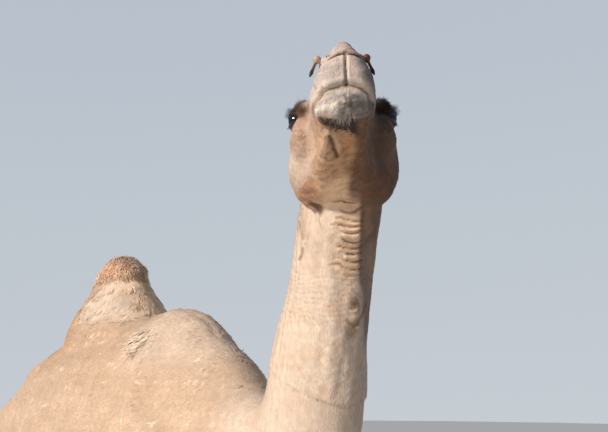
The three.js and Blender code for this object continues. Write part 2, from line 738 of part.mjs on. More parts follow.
// --- trunk and legs, each leg's top fused with the trunk
let torso = join([trunk, neck]);
const legs = LEGS.map((leg) => {
  const { ahead, height } = leg.fore ? ELBOW : STIFLE;
  const point = bodyPlace(ahead, 0, height);
  const normal = new THREE.Vector3(0, leg.fore ? -0.1 : 0.22, -1);
  const [lower, top] = part(legSolid(leg), point, normal);
  torso = torso.add(top);
  return { ...leg, lower, room: legSolid(leg, GAP).intersect(beyond(point, normal, -GAP / 2)) };
});
for (const leg of legs) torso = torso.subtract(leg.room);

// --- tail
const tailPoint = bodyPlace(TAIL_ROOT.ahead, 0, TAIL_ROOT.height);
const tailWay = new THREE.Vector3(0, 0.94, -0.34);
const [tail, tailStub] = part(tailSolid(), tailPoint, tailWay);
torso = torso.subtract(tailSolid(25).intersect(beyond(tailPoint, tailWay, -GAP / 2))).add(tailStub);
const [tuftCore, tailPiece] = part(tail, bodyPlace(0, 0, TUFT_TOP), down);
const tuftRoom = beyond(bodyPlace(0, 0, TUFT_TOP), down, GAP / 2);
add("tail", tailPiece, COAT);
add("tail_tuft", join([tuftCore, ...tailLocks()]).intersect(tuftRoom), DARK_COAT);

// --- hump and chest pad
torso = torso.add(hump);
add("hump", join([torso.intersect(humpRoom(0)), ...humpWool()]), COAT);
torso = torso.subtract(humpRoom(GAP));
const grownPad = CHEST_PAD.size.map((v) => v + GAP);
torso = torso.subtract(ellipsoid(bodyPlace, CHEST_PAD.at, grownPad, 14));
add("chest_pad", ellipsoid(bodyPlace, CHEST_PAD.at, CHEST_PAD.size, 14), PAD_SKIN);

// --- neck, in two parts
const [wholeNeck, trunkPiece] = part(torso, bodyPlace(NECK_BASE, 0, 0), new THREE.Vector3(0, -1, 0));
const [neckTop, neckBottom] = part(wholeNeck, bodyPlace(1196, 0, 1750), new THREE.Vector3(0, -0.36, 0.93));
const throat = headPlace(...THROAT_AT);
const throatWay = new THREE.Vector3(0, -0.985, 0.174).transformDirection(headTurn);
add("torso", trunkPiece, COAT);
add("neck_lower", neckBottom, COAT);
add("neck_upper", neckTop.subtract(beyond(throat, throatWay, -GAP / 2)), COAT);

// --- head
const bothSides = [1, -1];
const nostrilSlit = [[312, 3, -61], [299, 22, -55], [285, 40, -53], [268, 53, -56]];
const nostril = (mirror) => cord(mirrored(nostrilSlit, mirror), [3, 4.5, 5, 3], 6);
const philtrum = cord(along([[316, 0, -58], [319, 0, -90], [314, 0, -136]]), [3, 4, 6], 6);
const chin = ellipsoid(headPlace, [240, 0, -164], [49, 56, 31], 14);
const eyelids = bothSides.map(lids);
const ears = bothSides.map(earSolids);
const lidShells = eyelids.map((lid) => lid.shell);
let head = join([skull, jaw, neck, chin, ...bothSides.flatMap(headFeatures), ...lidShells]);
head = head.intersect(beyond(throat, throatWay, GAP / 2));
head = join([head, ...ears.map((ear) => ear.stub)]);
head = head.subtract(join([mouthCut(), philtrum, ...bothSides.map(nostril)]));
head = head.subtract(join(eyelids.map((lid) => lid.opening)));
head = join([head, ...bothSides.flatMap(lashes), ...pollTuft()]);
for (const [i, mirror] of bothSides.entries()) {
  const side = mirror > 0 ? "left" : "right";
  const ball = (grow) => {
    const centre = eyeCentre(mirror);
    const geometry = new THREE.SphereGeometry(EYE_RADIUS + grow, 14, 9).rotateX(Math.PI / 2);
    return solidOf(geometry.translate(centre.x, centre.y, centre.z));
  };
  head = head.subtract(join([ears[i].room, ball(2 * GAP), pegSolid(mirror, GAP)]));
  add(`ear_${side}`, ears[i].blade, COAT);
  add(`eye_${side}`, ball(0), EYEBALL);
  add(`nose_peg_${side}`, pegSolid(mirror, 0), WOOD);
}
add("head", head, COAT);

// --- legs, parted at the knee or the hock
for (const leg of legs) {
  let whole = leg.lower.subtract(cleftSolid(leg));
  for (const [name, toe] of [["inner", -leg.mirror], ["outer", leg.mirror]]) {
    whole = whole.subtract(nailSolid(leg, toe, GAP));
    add(`${leg.name}_nail_${name}`, nailSolid(leg, toe, 0), HORN);
  }
  const [above, below] = part(whole, bodyPlace(0, 0, leg.fore ? KNEE : HOCK), up);
  add(`${leg.name}_upper`, above, COAT);
  add(`${leg.name}_lower`, below, COAT);
}

export default camel;
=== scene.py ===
import math
import bmesh
import bpy
import numpy as np
from mathutils import Matrix, Vector


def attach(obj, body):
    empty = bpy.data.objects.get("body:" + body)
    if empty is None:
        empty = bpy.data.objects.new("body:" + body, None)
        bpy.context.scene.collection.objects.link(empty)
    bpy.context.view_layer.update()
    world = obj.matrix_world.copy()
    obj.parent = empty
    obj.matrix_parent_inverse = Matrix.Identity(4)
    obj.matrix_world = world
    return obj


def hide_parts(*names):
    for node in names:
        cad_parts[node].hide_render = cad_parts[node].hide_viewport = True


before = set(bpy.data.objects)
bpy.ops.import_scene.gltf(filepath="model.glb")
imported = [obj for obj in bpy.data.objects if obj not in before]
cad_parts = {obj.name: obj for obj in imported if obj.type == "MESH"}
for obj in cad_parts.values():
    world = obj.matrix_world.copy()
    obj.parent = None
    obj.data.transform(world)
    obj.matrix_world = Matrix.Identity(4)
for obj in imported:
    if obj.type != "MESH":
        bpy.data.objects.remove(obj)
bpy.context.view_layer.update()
rng = np.random.default_rng(11)

# ---------------------------------------------------------------- places
ORIGIN_AHEAD, ORIGIN_SIDE = 405, -2
EYE_RADIUS, EYE_SIDE = 23, 94
MOUTH_HEIGHT = -140
HUMP_TOP = 2114


def turned(axis, degrees):
    return np.array(Matrix.Rotation(math.radians(degrees), 3, axis))


def body_at(ahead, side, height):
    """Metres from millimetres ahead of the hump, to the left and above the floor."""
    return np.stack(
        np.broadcast_arrays(side - ORIGIN_SIDE, ORIGIN_AHEAD - ahead, height), -1
    ) / 1000


HEAD_TURN = turned("Z", -37) @ turned("X", -18) @ turned("Y", -1)
HEAD_AT = body_at(1400, -95, 2250)


def bend(ahead):
    """How far the tip of the muzzle is turned to the left, in millimetres."""
    return 7 * ease(235, 312, np.asarray(ahead, float))


def head_at(ahead, side, height):
    """Metres from millimetres in the head's own frame, whose origin is midway between the eyes."""
    local = np.stack(
        np.broadcast_arrays(side + bend(ahead), -np.asarray(ahead, float), height), -1
    ) / 1000
    return local @ HEAD_TURN.T + HEAD_AT


def head_way(ahead, side, height):
    way = np.stack(np.broadcast_arrays(side, -np.asarray(ahead, float), height), -1) @ HEAD_TURN.T
    return way / np.linalg.norm(way, axis=-1, keepdims=True)


def in_head(points):
    """Millimetres ahead, to the left and up in the head's own frame."""
    local = (points - HEAD_AT) @ HEAD_TURN * 1000
    return -local[..., 1], local[..., 0] - bend(-local[..., 1]), local[..., 2]


def in_body(points):
    """Millimetres ahead of the hump, to the left and above the floor."""
    x, y, z = points[:, 0] * 1000, points[:, 1] * 1000, points[:, 2] * 1000
    return ORIGIN_AHEAD - y, x + ORIGIN_SIDE, z


def unit(vectors):
    return vectors / np.maximum(np.linalg.norm(vectors, axis=-1, keepdims=True), 1e-9)


def ease(low, high, value):
    """Rises smoothly from 0 at low to 1 at high, which may also be the lesser of the two."""
    t = np.clip((value - low) / (high - low), 0, 1)
    return t * t * (3 - 2 * t)


def bell(value, centre, width):
    return np.exp(-(((value - centre) / width) ** 2))


def blob(points, centre, radius):
    """A soft round spot in metres."""
    return np.exp(-np.sum((points - centre) ** 2, -1) / radius**2)


def gap_to(points, place):
    """Distance of each point from a place, in millimetres."""
    return np.linalg.norm(points - place, axis=-1) * 1000


def everywhere(value, points):
    """The same value or colour for each point."""
    return np.tile(value, (len(points), 1))


UPRIGHT = np.array([1, 1, 0.3])  # draws a ripple out upwards


def ripple(points, size, seed, octaves=3):
    """Smooth noise between about -1 and 1 with features of a size in metres."""
    source = np.random.default_rng(seed)
    total = np.zeros(points.shape[:-1])
    weight = 0
    for octave in range(octaves):
        for _ in range(5):
            way = source.normal(size=3)
            way *= 2 * math.pi / (
                size * 0.5**octave * np.linalg.norm(way) * source.uniform(0.7, 1.5)
            )
            total += 0.5**octave * np.sin(points @ way + source.uniform(0, 2 * math.pi))
        weight += 0.5**octave * 1.6
    return total / weight


# ---------------------------------------------------------------- tables of sections
# ahead, back line, belly line, half width, narrowing of the back
TRUNK_LINES = [
    [-818, 1560, 1440, 55, 0],
    [-797, 1632, 1372, 122, 0.05],
    [-730, 1706, 1312, 184, 0.1],
    [-630, 1768, 1282, 226, 0.14],
    [-480, 1820, 1272, 258, 0.16],
    [-300, 1852, 1212, 290, 0.14],
    [-100, 1870, 1148, 314, 0.12],
    [100, 1882, 1104, 318, 0.12],
    [300, 1893, 1086, 292, 0.16],
    [450, 1910, 1092, 256, 0.22],
    [580, 1882, 1128, 220, 0.26],
    [690, 1818, 1190, 184, 0.22],
    [780, 1718, 1268, 136, 0.12],
    [832, 1595, 1390, 62, 0],
]
TRUNK = {
    "columns": ["ahead", "height", "wide", "up", "down", "egg"],
    "rows": [
        [a, b + 0.45 * (t - b), w, 0.55 * (t - b), 0.45 * (t - b), egg]
        for a, t, b, w, egg in TRUNK_LINES
    ],
}
# height, middle, reach behind, reach ahead, half width, tilt
HUMP = {
    "columns": ["height", "ahead", "down", "up", "wide", "tilt"],
    "rows": [
        [1640, -20, 400, 400, 140, 90],
        [1780, -22, 375, 385, 172, 90],
        [1850, -25, 318, 345, 168, 90],
        [1910, -28, 248, 322, 142, 90],
        [1965, -32, 184, 276, 108, 90],
        [2020, -36, 132, 200, 80, 90],
        [2065, -40, 92, 118, 60, 90],
        [2095, -42, 56, 60, 38, 90],
        [HUMP_TOP, -44, 20, 22, 15, 90],
    ],
}
NECK = {
    "columns": ["ahead", "height", "side", "tilt", "turn", "wide", "up", "down", "egg"],
    "rows": [
        [560, 1575, 0, 0, 0, 168, 262, 270, 0.15],
        [700, 1552, 0, -4, 0, 158, 250, 280, 0.15],
        [820, 1522, 0, -4, 0, 142, 208, 234, 0.12],
        [930, 1494, 0, 4, 0, 128, 174, 198, 0.08],
        [1040, 1508, -3, 24, 0, 118, 150, 170, 0.04],
        [1128, 1585, -8, 48, -2, 110, 138, 153, 0],
        [1180, 1695, -13, 66, -5, 102, 134, 140, 0],
        [1208, 1810, -14, 73, 10, 95, 131, 132, 0],
        [1234, 1930, -11, 75, 21, 90, 126, 124, 0],
        [1257, 2030, -8, 74, 31, 94, 118, 115, 0],
        [1273, 2110, -4, 70, 36, 95, 104, 99, 0],
        [1302, 2180, -16, 52, 36, 88, 94, 92, 0],
        [1335, 2232, -38, 36, 36, 72, 76, 72, 0],
    ],
}
LEG_COLUMNS = ["ahead", "height", "side", "wide", "up", "down", "tilt"]
FORELEG = [
    [556, 1720, 62, 34, 62, 62],
    [578, 1575, 142, 68, 118, 112],
    [592, 1440, 180, 84, 150, 132],
    [575, 1330, 194, 86, 146, 128],
    [532, 1235, 194, 82, 116, 116],
    [500, 1150, 186, 74, 92, 96],
    [488, 1040, 176, 63, 74, 74],
    [482, 920, 167, 54, 61, 59],
    [480, 800, 161, 47, 51, 50],
    [481, 720, 158, 50, 57, 50],
    [484, 655, 156, 57, 70, 52],
    [481, 590, 155, 52, 60, 50],
    [473, 520, 155, 41, 43, 45],
    [470, 410, 155, 36, 38, 41],
    [468, 300, 156, 36, 37, 41],
    [468, 232, 157, 43, 43, 47],
    [473, 186, 158, 53, 52, 55],
    [486, 142, 159, 53, 54, 50],
    [503, 104, 160, 64, 68, 62],
    [516, 64, 160, 86, 90, 84],
    [520, 32, 160, 95, 100, 94],
    [520, 10, 160, 94, 99, 93],
    [520, 0, 160, 87, 92, 86],
]
HINDLEG = [
    [-640, 1690, 55, 38, 75, 55],
    [-618, 1596, 124, 84, 180, 140],
    [-594, 1470, 170, 102, 216, 186],
    [-566, 1350, 188, 102, 206, 186],
    [-532, 1240, 196, 95, 172, 168],
    [-512, 1140, 192, 84, 132, 138],
    [-540, 1040, 181, 70, 106, 112],
    [-598, 930, 168, 57, 84, 82],
    [-660, 820, 157, 47, 64, 60],
    [-716, 725, 150, 42, 52, 54],
    [-754, 655, 146, 44, 52, 64],
    [-766, 602, 145, 48, 56, 68],
    [-764, 540, 145, 44, 51, 54],
    [-756, 465, 146, 36, 40, 42],
    [-748, 350, 148, 33, 36, 38],
    [-742, 250, 150, 35, 38, 41],
    [-738, 202, 151, 44, 45, 49],
    [-730, 162, 152, 49, 51, 50],
    [-714, 124, 153, 52, 54, 49],
    [-697, 90, 154, 63, 64, 60],
    [-682, 56, 154, 78, 82, 76],
    [-678, 28, 154, 86, 90, 84],
    [-678, 9, 154, 85, 89, 83],
    [-678, 0, 154, 78, 82, 76],
]
# name, table, mirror, stride
LEGS = [
    ("foreleg_left", FORELEG, 1, -35),
    ("foreleg_right", FORELEG, -1, 45),
    ("hindleg_left", HINDLEG, 1, 55),
    ("hindleg_right", HINDLEG, -1, -40),
]
TAIL = [
    [-770, 1655, 0, 48, 50, 50],
    [-806, 1618, 0, 42, 40, 44],
    [-836, 1550, 0, 31, 27, 28],
    [-850, 1460, 0, 22, 19, 20],
    [-856, 1360, 1, 17, 15, 15],
    [-857, 1260, 3, 14, 12, 12],
    [-856, 1160, 4, 13, 11, 11],
    [-853, 1070, 6, 11, 9, 9],
    [-851, 1020, 7, 6, 5, 5],
]
# ahead, top line, height of the widest place, lower line, half width, egg, squareness
SKULL = [
    [-232, 30, -40, -100, 45, 0, 2],
    [-212, 66, -45, -128, 74, 0.05, 2],
    [-170, 94, -50, -150, 100, 0.05, 2.1],
    [-120, 104, -55, -160, 118, 0.06, 2.2],
    [-70, 102, -52, -158, 120, 0.04, 2.2],
    [-25, 92, -44, -150, 111, 0.02, 2.2],
    [20, 72, -44, -140, 86, 0, 2.3],
    [65, 55, -52, -136, 69, 0.12, 2.3],
    [120, 45, -62, -136, 61, 0.22, 2.3],
    [175, 36, -74, -137, 58, 0.32, 2.2],
    [215, 22, -84, -138, 57, 0.42, 2.2],
    [250, 6, -92, -139, 55, 0.5, 2.2],
    [275, -11, -94, -139, 50, 0.5, 2.1],
    [294, -31, -96, -138, 41, 0.42, 2],
    [306, -50, -98, -132, 29, 0.3, 2],
    [311, -70, -98, -120, 14, 0.1, 2],
]
JAW = [
    [-168, -90, -112, -138, 50, 0, 2],
    [-140, -66, -110, -156, 88, 0.1, 2],
    [-95, -50, -106, -167, 106, 0.2, 2.1],
    [-40, -50, -108, -168, 96, 0.2, 2.2],
    [20, -80, -118, -168, 71, 0.12, 2.2],
    [90, -100, -134, -170, 55, 0.1, 2.2],
    [160, -112, -140, -168, 51, 0.05, 2.2],
    [200, -116, -144, -166, 51, 0, 2.2],
    [226, -120, -150, -165, 51, 0, 2.3],
    [247, -126, -154, -173, 51, 0, 2.3],
    [264, -129, -154, -176, 49, 0, 2.3],
    [279, -133, -154, -172, 39, 0, 2.2],
    [290, -139, -153, -164, 18, 0, 2],
]
HEAD_COLUMNS = ["ahead", "height", "wide", "up", "down", "egg", "square"]


def head_rows(rows):
    return [[a, mid, w, top - mid, mid - low, egg, sq] for a, top, mid, low, w, egg, sq in rows]


# ---------------------------------------------------------------- plain meshes as arrays
def sections(rows, count):
    """A smooth curve through a table's rows, at count + 1 even steps."""
    rows = np.array(rows, float)
    last = len(rows) - 1
    at = np.linspace(0, last, count + 1)
    i = np.minimum(at.astype(int), last - 1)
    t = (at - i)[:, None]
    a, b, c, d = (rows[np.clip(i + k, 0, last)] for k in (-1, 0, 1, 2))
    return 0.5 * (
        2 * b + (c - a) * t + (2 * a - 5 * b + 4 * c - d) * t**2 + (3 * b - a - 3 * c + d) * t**3
    )


def shell(count, sides):
    """Triangles of a closed skin over rings, whose two end points come after those of the rings."""
    k = np.arange(sides)
    after = (k + 1) % sides
    start = sides * np.arange(count - 1)[:, None]
    a, b = start + k, start + after
    quads = np.stack([a, b, b + sides, a + sides], -1).reshape(-1, 4)
    low = np.stack([after, k, np.full(sides, count * sides)], -1)
    top = (count - 1) * sides
    high = np.stack([top + k, top + after, np.full(sides, count * sides + 1)], -1)
    return np.concatenate([quads[:, [0, 1, 2]], quads[:, [0, 2, 3]], low, high])


def skin_over(rings):
    """Points and triangles of a closed skin over rings of points, facing outwards."""
    points = np.concatenate([rings.reshape(-1, 3), rings[:1].mean(1), rings[-1:].mean(1)])
    triangles = shell(*rings.shape[:2])
    corners = points[triangles] - points.mean(0)
    if np.einsum("ij,ij->i", corners[:, 0], np.cross(corners[:, 1], corners[:, 2])).sum() < 0:
        triangles = triangles[:, ::-1]
    return points, triangles


def loft(rows, columns, sides, count, place=body_at, mirror=1, stride=0):
    table = sections(rows, count)
    s = {name: table[:, i : i + 1] for i, name in enumerate(columns)}
    none = np.zeros_like(table[:, :1])
    side = s.get("side", none) * mirror
    tilt, turn = np.radians(s.get("tilt", none)), np.radians(s.get("turn", none))
    egg, square = s.get("egg", none), s.get("square", none + 2)
    ahead = s["ahead"] + stride * np.minimum(1, 1.15 * np.clip((1250 - s["height"]) / 1250, 0, 1))
    angle = np.arange(sides) * 2 * math.pi / sides
    c, n = np.cos(angle)[None], np.sin(angle)[None]
    across = np.sign(c) * np.abs(c) ** (2 / square) * s["wide"] * (1 - egg * n)
    rise = np.sign(n) * np.abs(n) ** (2 / square) * np.where(n > 0, s["up"], s["down"])
    forward = -np.sin(tilt) * rise
    return skin_over(
        place(
            ahead + forward * np.cos(turn) + across * np.sin(turn),
            side - forward * np.sin(turn) + across * np.cos(turn),
            s["height"] + np.cos(tilt) * rise,
        )
    )


def ball(edge, rows, sides):
    """Rings of a ball of radius 1, the first and last of them edge radians from its poles."""
    theta = np.linspace(edge, math.pi - edge, rows)[:, None]
    phi = np.arange(sides)[None] * 2 * math.pi / sides
    wide = np.sin(theta)
    return np.stack([wide * np.cos(phi), wide * np.sin(phi), np.cos(theta) + 0 * phi], -1)


def ellipsoid(centre, radii, turn=None, sides=40):
    """centre in metres, radii in millimetres along x, y and z of the turned frame."""
    rings = ball(0.04, sides // 2, sides) * radii / 1000
    return skin_over(rings @ (np.eye(3) if turn is None else turn.T) + centre)


def along(points, steps):
    """Even steps along a smooth curve through points."""
    fine = sections(points, 200)
    length = np.concatenate([[0], np.cumsum(np.linalg.norm(np.diff(fine, axis=0), axis=1))])
    at = np.linspace(0, length[-1], steps)
    return np.stack([np.interp(at, length, fine[:, k]) for k in range(3)], -1)


def tube(points, radii, sides=14, steps=24):
    """A rod through points in metres, with radii in millimetres."""
    path = along(points, steps)
    radius = np.interp(np.linspace(0, 1, steps), np.linspace(0, 1, len(radii)), radii) / 1000
    tangent = unit(np.gradient(path, axis=0))
    normal = unit(np.cross(tangent, [0.31, 0.52, 0.79]))
    across = np.cross(tangent, normal)
    angle = np.arange(sides) * 2 * math.pi / sides
    c, s = np.cos(angle)[None, :, None], np.sin(angle)[None, :, None]
    ring = normal[:, None] * c + across[:, None] * s
    return skin_over(path[:, None] + ring * radius[:, None, None])


def joined(shapes):
    points, faces, at = [], [], 0
    for p, f in shapes:
        points.append(p)
        faces.append(f + at)
        at += len(p)
    return np.concatenate(points), np.concatenate(faces)


def in_scene(obj):
    bpy.context.scene.collection.objects.link(obj)
    return obj


def read(items, name, width, kind=np.float32):
    """One property of every item, as rows of width numbers."""
    values = np.empty(len(items) * width, kind)
    items.foreach_get(name, values)
    return values.reshape(-1, width)


def write(items, name, values):
    items.foreach_set(name, np.asarray(values, np.float32).ravel())


def mesh_object(name, points, faces, smooth=True):
    mesh = bpy.data.meshes.new(name)
    size = faces.shape[1]
    mesh.vertices.add(len(points))
    write(mesh.vertices, "co", points)
    mesh.loops.add(faces.size)
    mesh.loops.foreach_set("vertex_index", np.ascontiguousarray(faces, np.int32).ravel())
    mesh.polygons.add(len(faces))
    mesh.polygons.foreach_set("loop_start", np.arange(0, faces.size, size, dtype=np.int32))
    mesh.polygons.foreach_set("loop_total", np.full(len(faces), size, np.int32))
    mesh.update(calc_edges=True)
    mesh.validate()
    mesh.polygons.foreach_set("use_smooth", np.full(len(mesh.polygons), smooth))
    return in_scene(bpy.data.objects.new(name, mesh))


def coordinates(mesh):
    return read(mesh.vertices, "co", 3).astype(float)


def fused(name, shapes, voxel):
    """One closed surface round all the shapes, with square faces of a size in metres."""
    rough = mesh_object(name + "_rough", *joined(shapes))
    modifier = rough.modifiers.new("fuse", "REMESH")
    modifier.mode = "VOXEL"
    modifier.voxel_size = voxel
    evaluated = rough.evaluated_get(bpy.context.evaluated_depsgraph_get())
    mesh = bpy.data.meshes.new_from_object(evaluated)
    bpy.data.objects.remove(rough)
    return in_scene(bpy.data.objects.new(name, mesh))


def edges_of(mesh):
    return read(mesh.edges, "vertices", 2, np.int32)


def smoothed(points, edges, rounds, weight=None, keep=True):
    """Evened out points. With keep, forms don't shrink. weight holds places back."""
    both = np.concatenate([edges, edges[:, ::-1]])
    count = np.maximum(np.bincount(both[:, 0], minlength=len(points)), 1)[:, None]
    weight = 1 if weight is None else weight[:, None]
    for step in range(rounds):
        pull = 0.55 if not keep or step % 2 == 0 else -0.57
        sums = [
            np.bincount(both[:, 0], points[both[:, 1], k], minlength=len(points)) for k in range(3)
        ]
        points = points + pull * weight * (np.stack(sums, -1) / count - points)
    return points


def normals_of(obj, points):
    """Moves the object's points, and gives the normals there."""
    write(obj.data.vertices, "co", points)
    obj.data.update()
    return read(obj.data.vertex_normals, "vector", 3).astype(float)


# ---------------------------------------------------------------- the skin's lumps
SIDES = (1, -1)
EYES = {mirror: head_at(0, EYE_SIDE * mirror, 0) for mirror in SIDES}


def head_points(rows, mirror=1):
    a, s, h = np.array(rows, float).T
    return head_at(a, s * mirror, h)


BROW = [[44, 66, 12], [18, 84, 24], [-12, 91, 27], [-48, 89, 18]]
NOSTRIL_WING = [[305, 4, -53], [292, 21, -49], [276, 37, -49], [254, 46, -52]]


def head_shapes():
    shapes = [
        loft(head_rows(SKULL), HEAD_COLUMNS, 72, 90, head_at),
        loft(head_rows(JAW), HEAD_COLUMNS, 56, 60, head_at),
        ellipsoid(head_at(258, -1, -157), (54, 28, 18), HEAD_TURN),
        ellipsoid(np.array([-0.050, -0.948, 2.046]), (66, 43, 58), turned("Z", -37)),
    ]
    for m in SIDES:
        shapes += [
            tube(head_points(BROW, m), [9, 15, 16, 9]),
            tube(head_points(NOSTRIL_WING, m), [5, 7, 7, 4]),
            ellipsoid(head_at(270, 26 * m, -110), (30, 41, 37), HEAD_TURN),
            ellipsoid(head_at(224, 37 * m, -118), (27, 58, 30), HEAD_TURN),
            tube(head_points([[196, 46, -122], [168, 47, -133], [146, 42, -147]], m), [7, 9, 6]),
            ellipsoid(head_at(-22, 73 * m, -50), (24, 86, 24), HEAD_TURN),
            ellipsoid(EYES[m], (EYE_RADIUS + 4,) * 3),
            ellipsoid(head_at(0, 84 * m, -52), (29, 62, 48), HEAD_TURN),
            ear(m),
        ]
    return shapes


def ear(mirror):
    """A cupped leaf that points back and up, with its hollow facing out and forward."""
    lie = unit(np.array([0.2 * mirror, 0.72, 0.66]))
    open_way = np.array([0.85 * mirror, -0.45, 0.2])
    open_way = unit(open_way - lie * (open_way @ lie))
    across = np.cross(lie, open_way)
    lie, open_way, across = (HEAD_TURN @ way for way in (lie, open_way, across))
    root = head_at(-152, 70 * mirror, 78)
    t = np.linspace(-0.18, 1, 40)[:, None]
    breadth = np.maximum(0.05, np.sin(math.pi * np.minimum(1, 0.16 + 0.84 * t)).clip(0.001) ** 0.8)
    wide, deep = 33 * breadth, 21 * breadth
    cup = ease(0.14, 0.3, t) * ease(1, 0.9, t)
    phi = np.linspace(0, math.pi, 20)[None]
    outer = np.stack([np.cos(phi) * wide, -np.sin(phi) * deep + 0 * wide], -1)
    inner_deep = deep * (1 - cup) * -1 + cup * np.maximum(deep - 8, 1)
    inner = np.stack(
        [np.cos(phi[:, ::-1]) * (wide - 3 * cup), -np.sin(phi[:, ::-1]) * inner_deep], -1
    )
    ring = np.concatenate([outer, inner[:, 1:-1]], 1) / 1000
    centre = root + lie * (0.110 * t) + open_way * (0.010 * t * t)
    return skin_over(centre[:, None] + ring[..., :1] * across + ring[..., 1:] * open_way)


def body_shapes():
    shapes = [
        loft(TRUNK["rows"], TRUNK["columns"], 96, 80),
        loft(HUMP["rows"], HUMP["columns"], 72, 50),
        loft(NECK["rows"], NECK["columns"], 72, 70),
        loft([row + [-90] for row in TAIL], LEG_COLUMNS, 24, 40),
    ]
    for _, rows, mirror, stride in LEGS:
        rows = [row + [-90] for row in rows]
        shapes.append(loft(rows, LEG_COLUMNS, 48, 90, mirror=mirror, stride=stride))
    return shapes


NECK_CUT = body_at(1180, -13, 1700)
NECK_WAY = unit(np.array([0, -0.42, 0.908]))


def cut_off(obj, point, way):
    """Removes what lies beyond a plane and leaves an open edge there."""
    bm = bmesh.new()
    bm.from_mesh(obj.data)
    every = bm.verts[:] + bm.edges[:] + bm.faces[:]
    bmesh.ops.bisect_plane(
        bm, geom=every, plane_co=Vector(point), plane_no=Vector(way), clear_outer=True
    )
    bm.to_mesh(obj.data)
    bm.free()


def near_line(points, line, reach):
    """Distance in millimetres to a line of points in metres, or reach where it is farther."""
    away = np.full(len(points), float(reach))
    low, high = line.min(0) - reach / 1000, line.max(0) + reach / 1000
    close = np.nonzero(np.all((points > low) & (points < high), -1))[0]
    for start in range(0, len(close), 20000):
        some = close[start : start + 20000]
        gap = np.linalg.norm(points[some, None] - line[None], axis=-1).min(1) * 1000
        away[some] = np.minimum(gap, reach)
    return away


def eye_frame(mirror):
    """The ways out of the eye, up and ahead along its slit."""
    out = unit(HEAD_TURN @ np.array([0.86 * mirror, -0.5, -0.1]))
    up = HEAD_TURN @ np.array([0.1 * mirror, -0.03, 1])
    up = unit(up - out * (up @ out))
    ahead = np.cross(up, out)
    if ahead @ head_way(1, 0, 0) < 0:
        ahead = -ahead
    return out, up, ahead


def lid_curve(x, upper):
    """Height of a lid's edge on a ball of radius 1, from back corner (-1) to front corner (1)."""
    bow = np.clip(1 - x**2, 0, 1) ** 0.62
    return (0.56 if upper else -0.68) * bow + 0.03 - 0.10 * x


SLIT = 0.86
PIT = head_at(-96, -62, -159)  # a small pit at the angle of the jaw, painted dark as shade
# ridges and creases between the branches of the jaw: way, height, width, share of their painted
# light on ridges and painted shade in creases
THROAT_FOLDS = [
    ([[216, -26], [180, -32], [147, -37], [118, -41]], 6.5, 5.5, 0.9),
    ([[214, -24], [186, -17], [150, -9], [130, -6]], 3, 5, 0.25),
    ([[186, -28], [160, -23], [133, -17], [104, -12]], -5.5, 4, 0.9),
    ([[190, 26], [120, 24], [30, 14], [-50, 6]], 3, 9, 0),
]


def under_line(a, s, rows):
    """Distance in millimetres, ahead and to the side, to a line on the underside of the jaw."""
    flat = np.stack([a, s, 0 * a], -1) / 1000
    line = np.array([[*place, 0] for place in rows]) / 1000
    return near_line(flat, along(line, 40), 30)


NOSTRIL = [[307.5, 0, -69], [306, 10, -70], [301, 20, -71], [291, 32, -71]]
NOSTRIL += [[277, 42, -66], [264, 47, -58]]


def nostril(mirror):
    """The slit of a nostril, as a line of points."""
    return along(head_points(NOSTRIL, mirror), 60)


def mouth_line(side):
    """Height of the line of the mouth, a low wide arch in front."""
    return MOUTH_HEIGHT + 1 + 6.5 * bell(side, -1, 27) - 1.5 * ease(34, 56, np.abs(side))


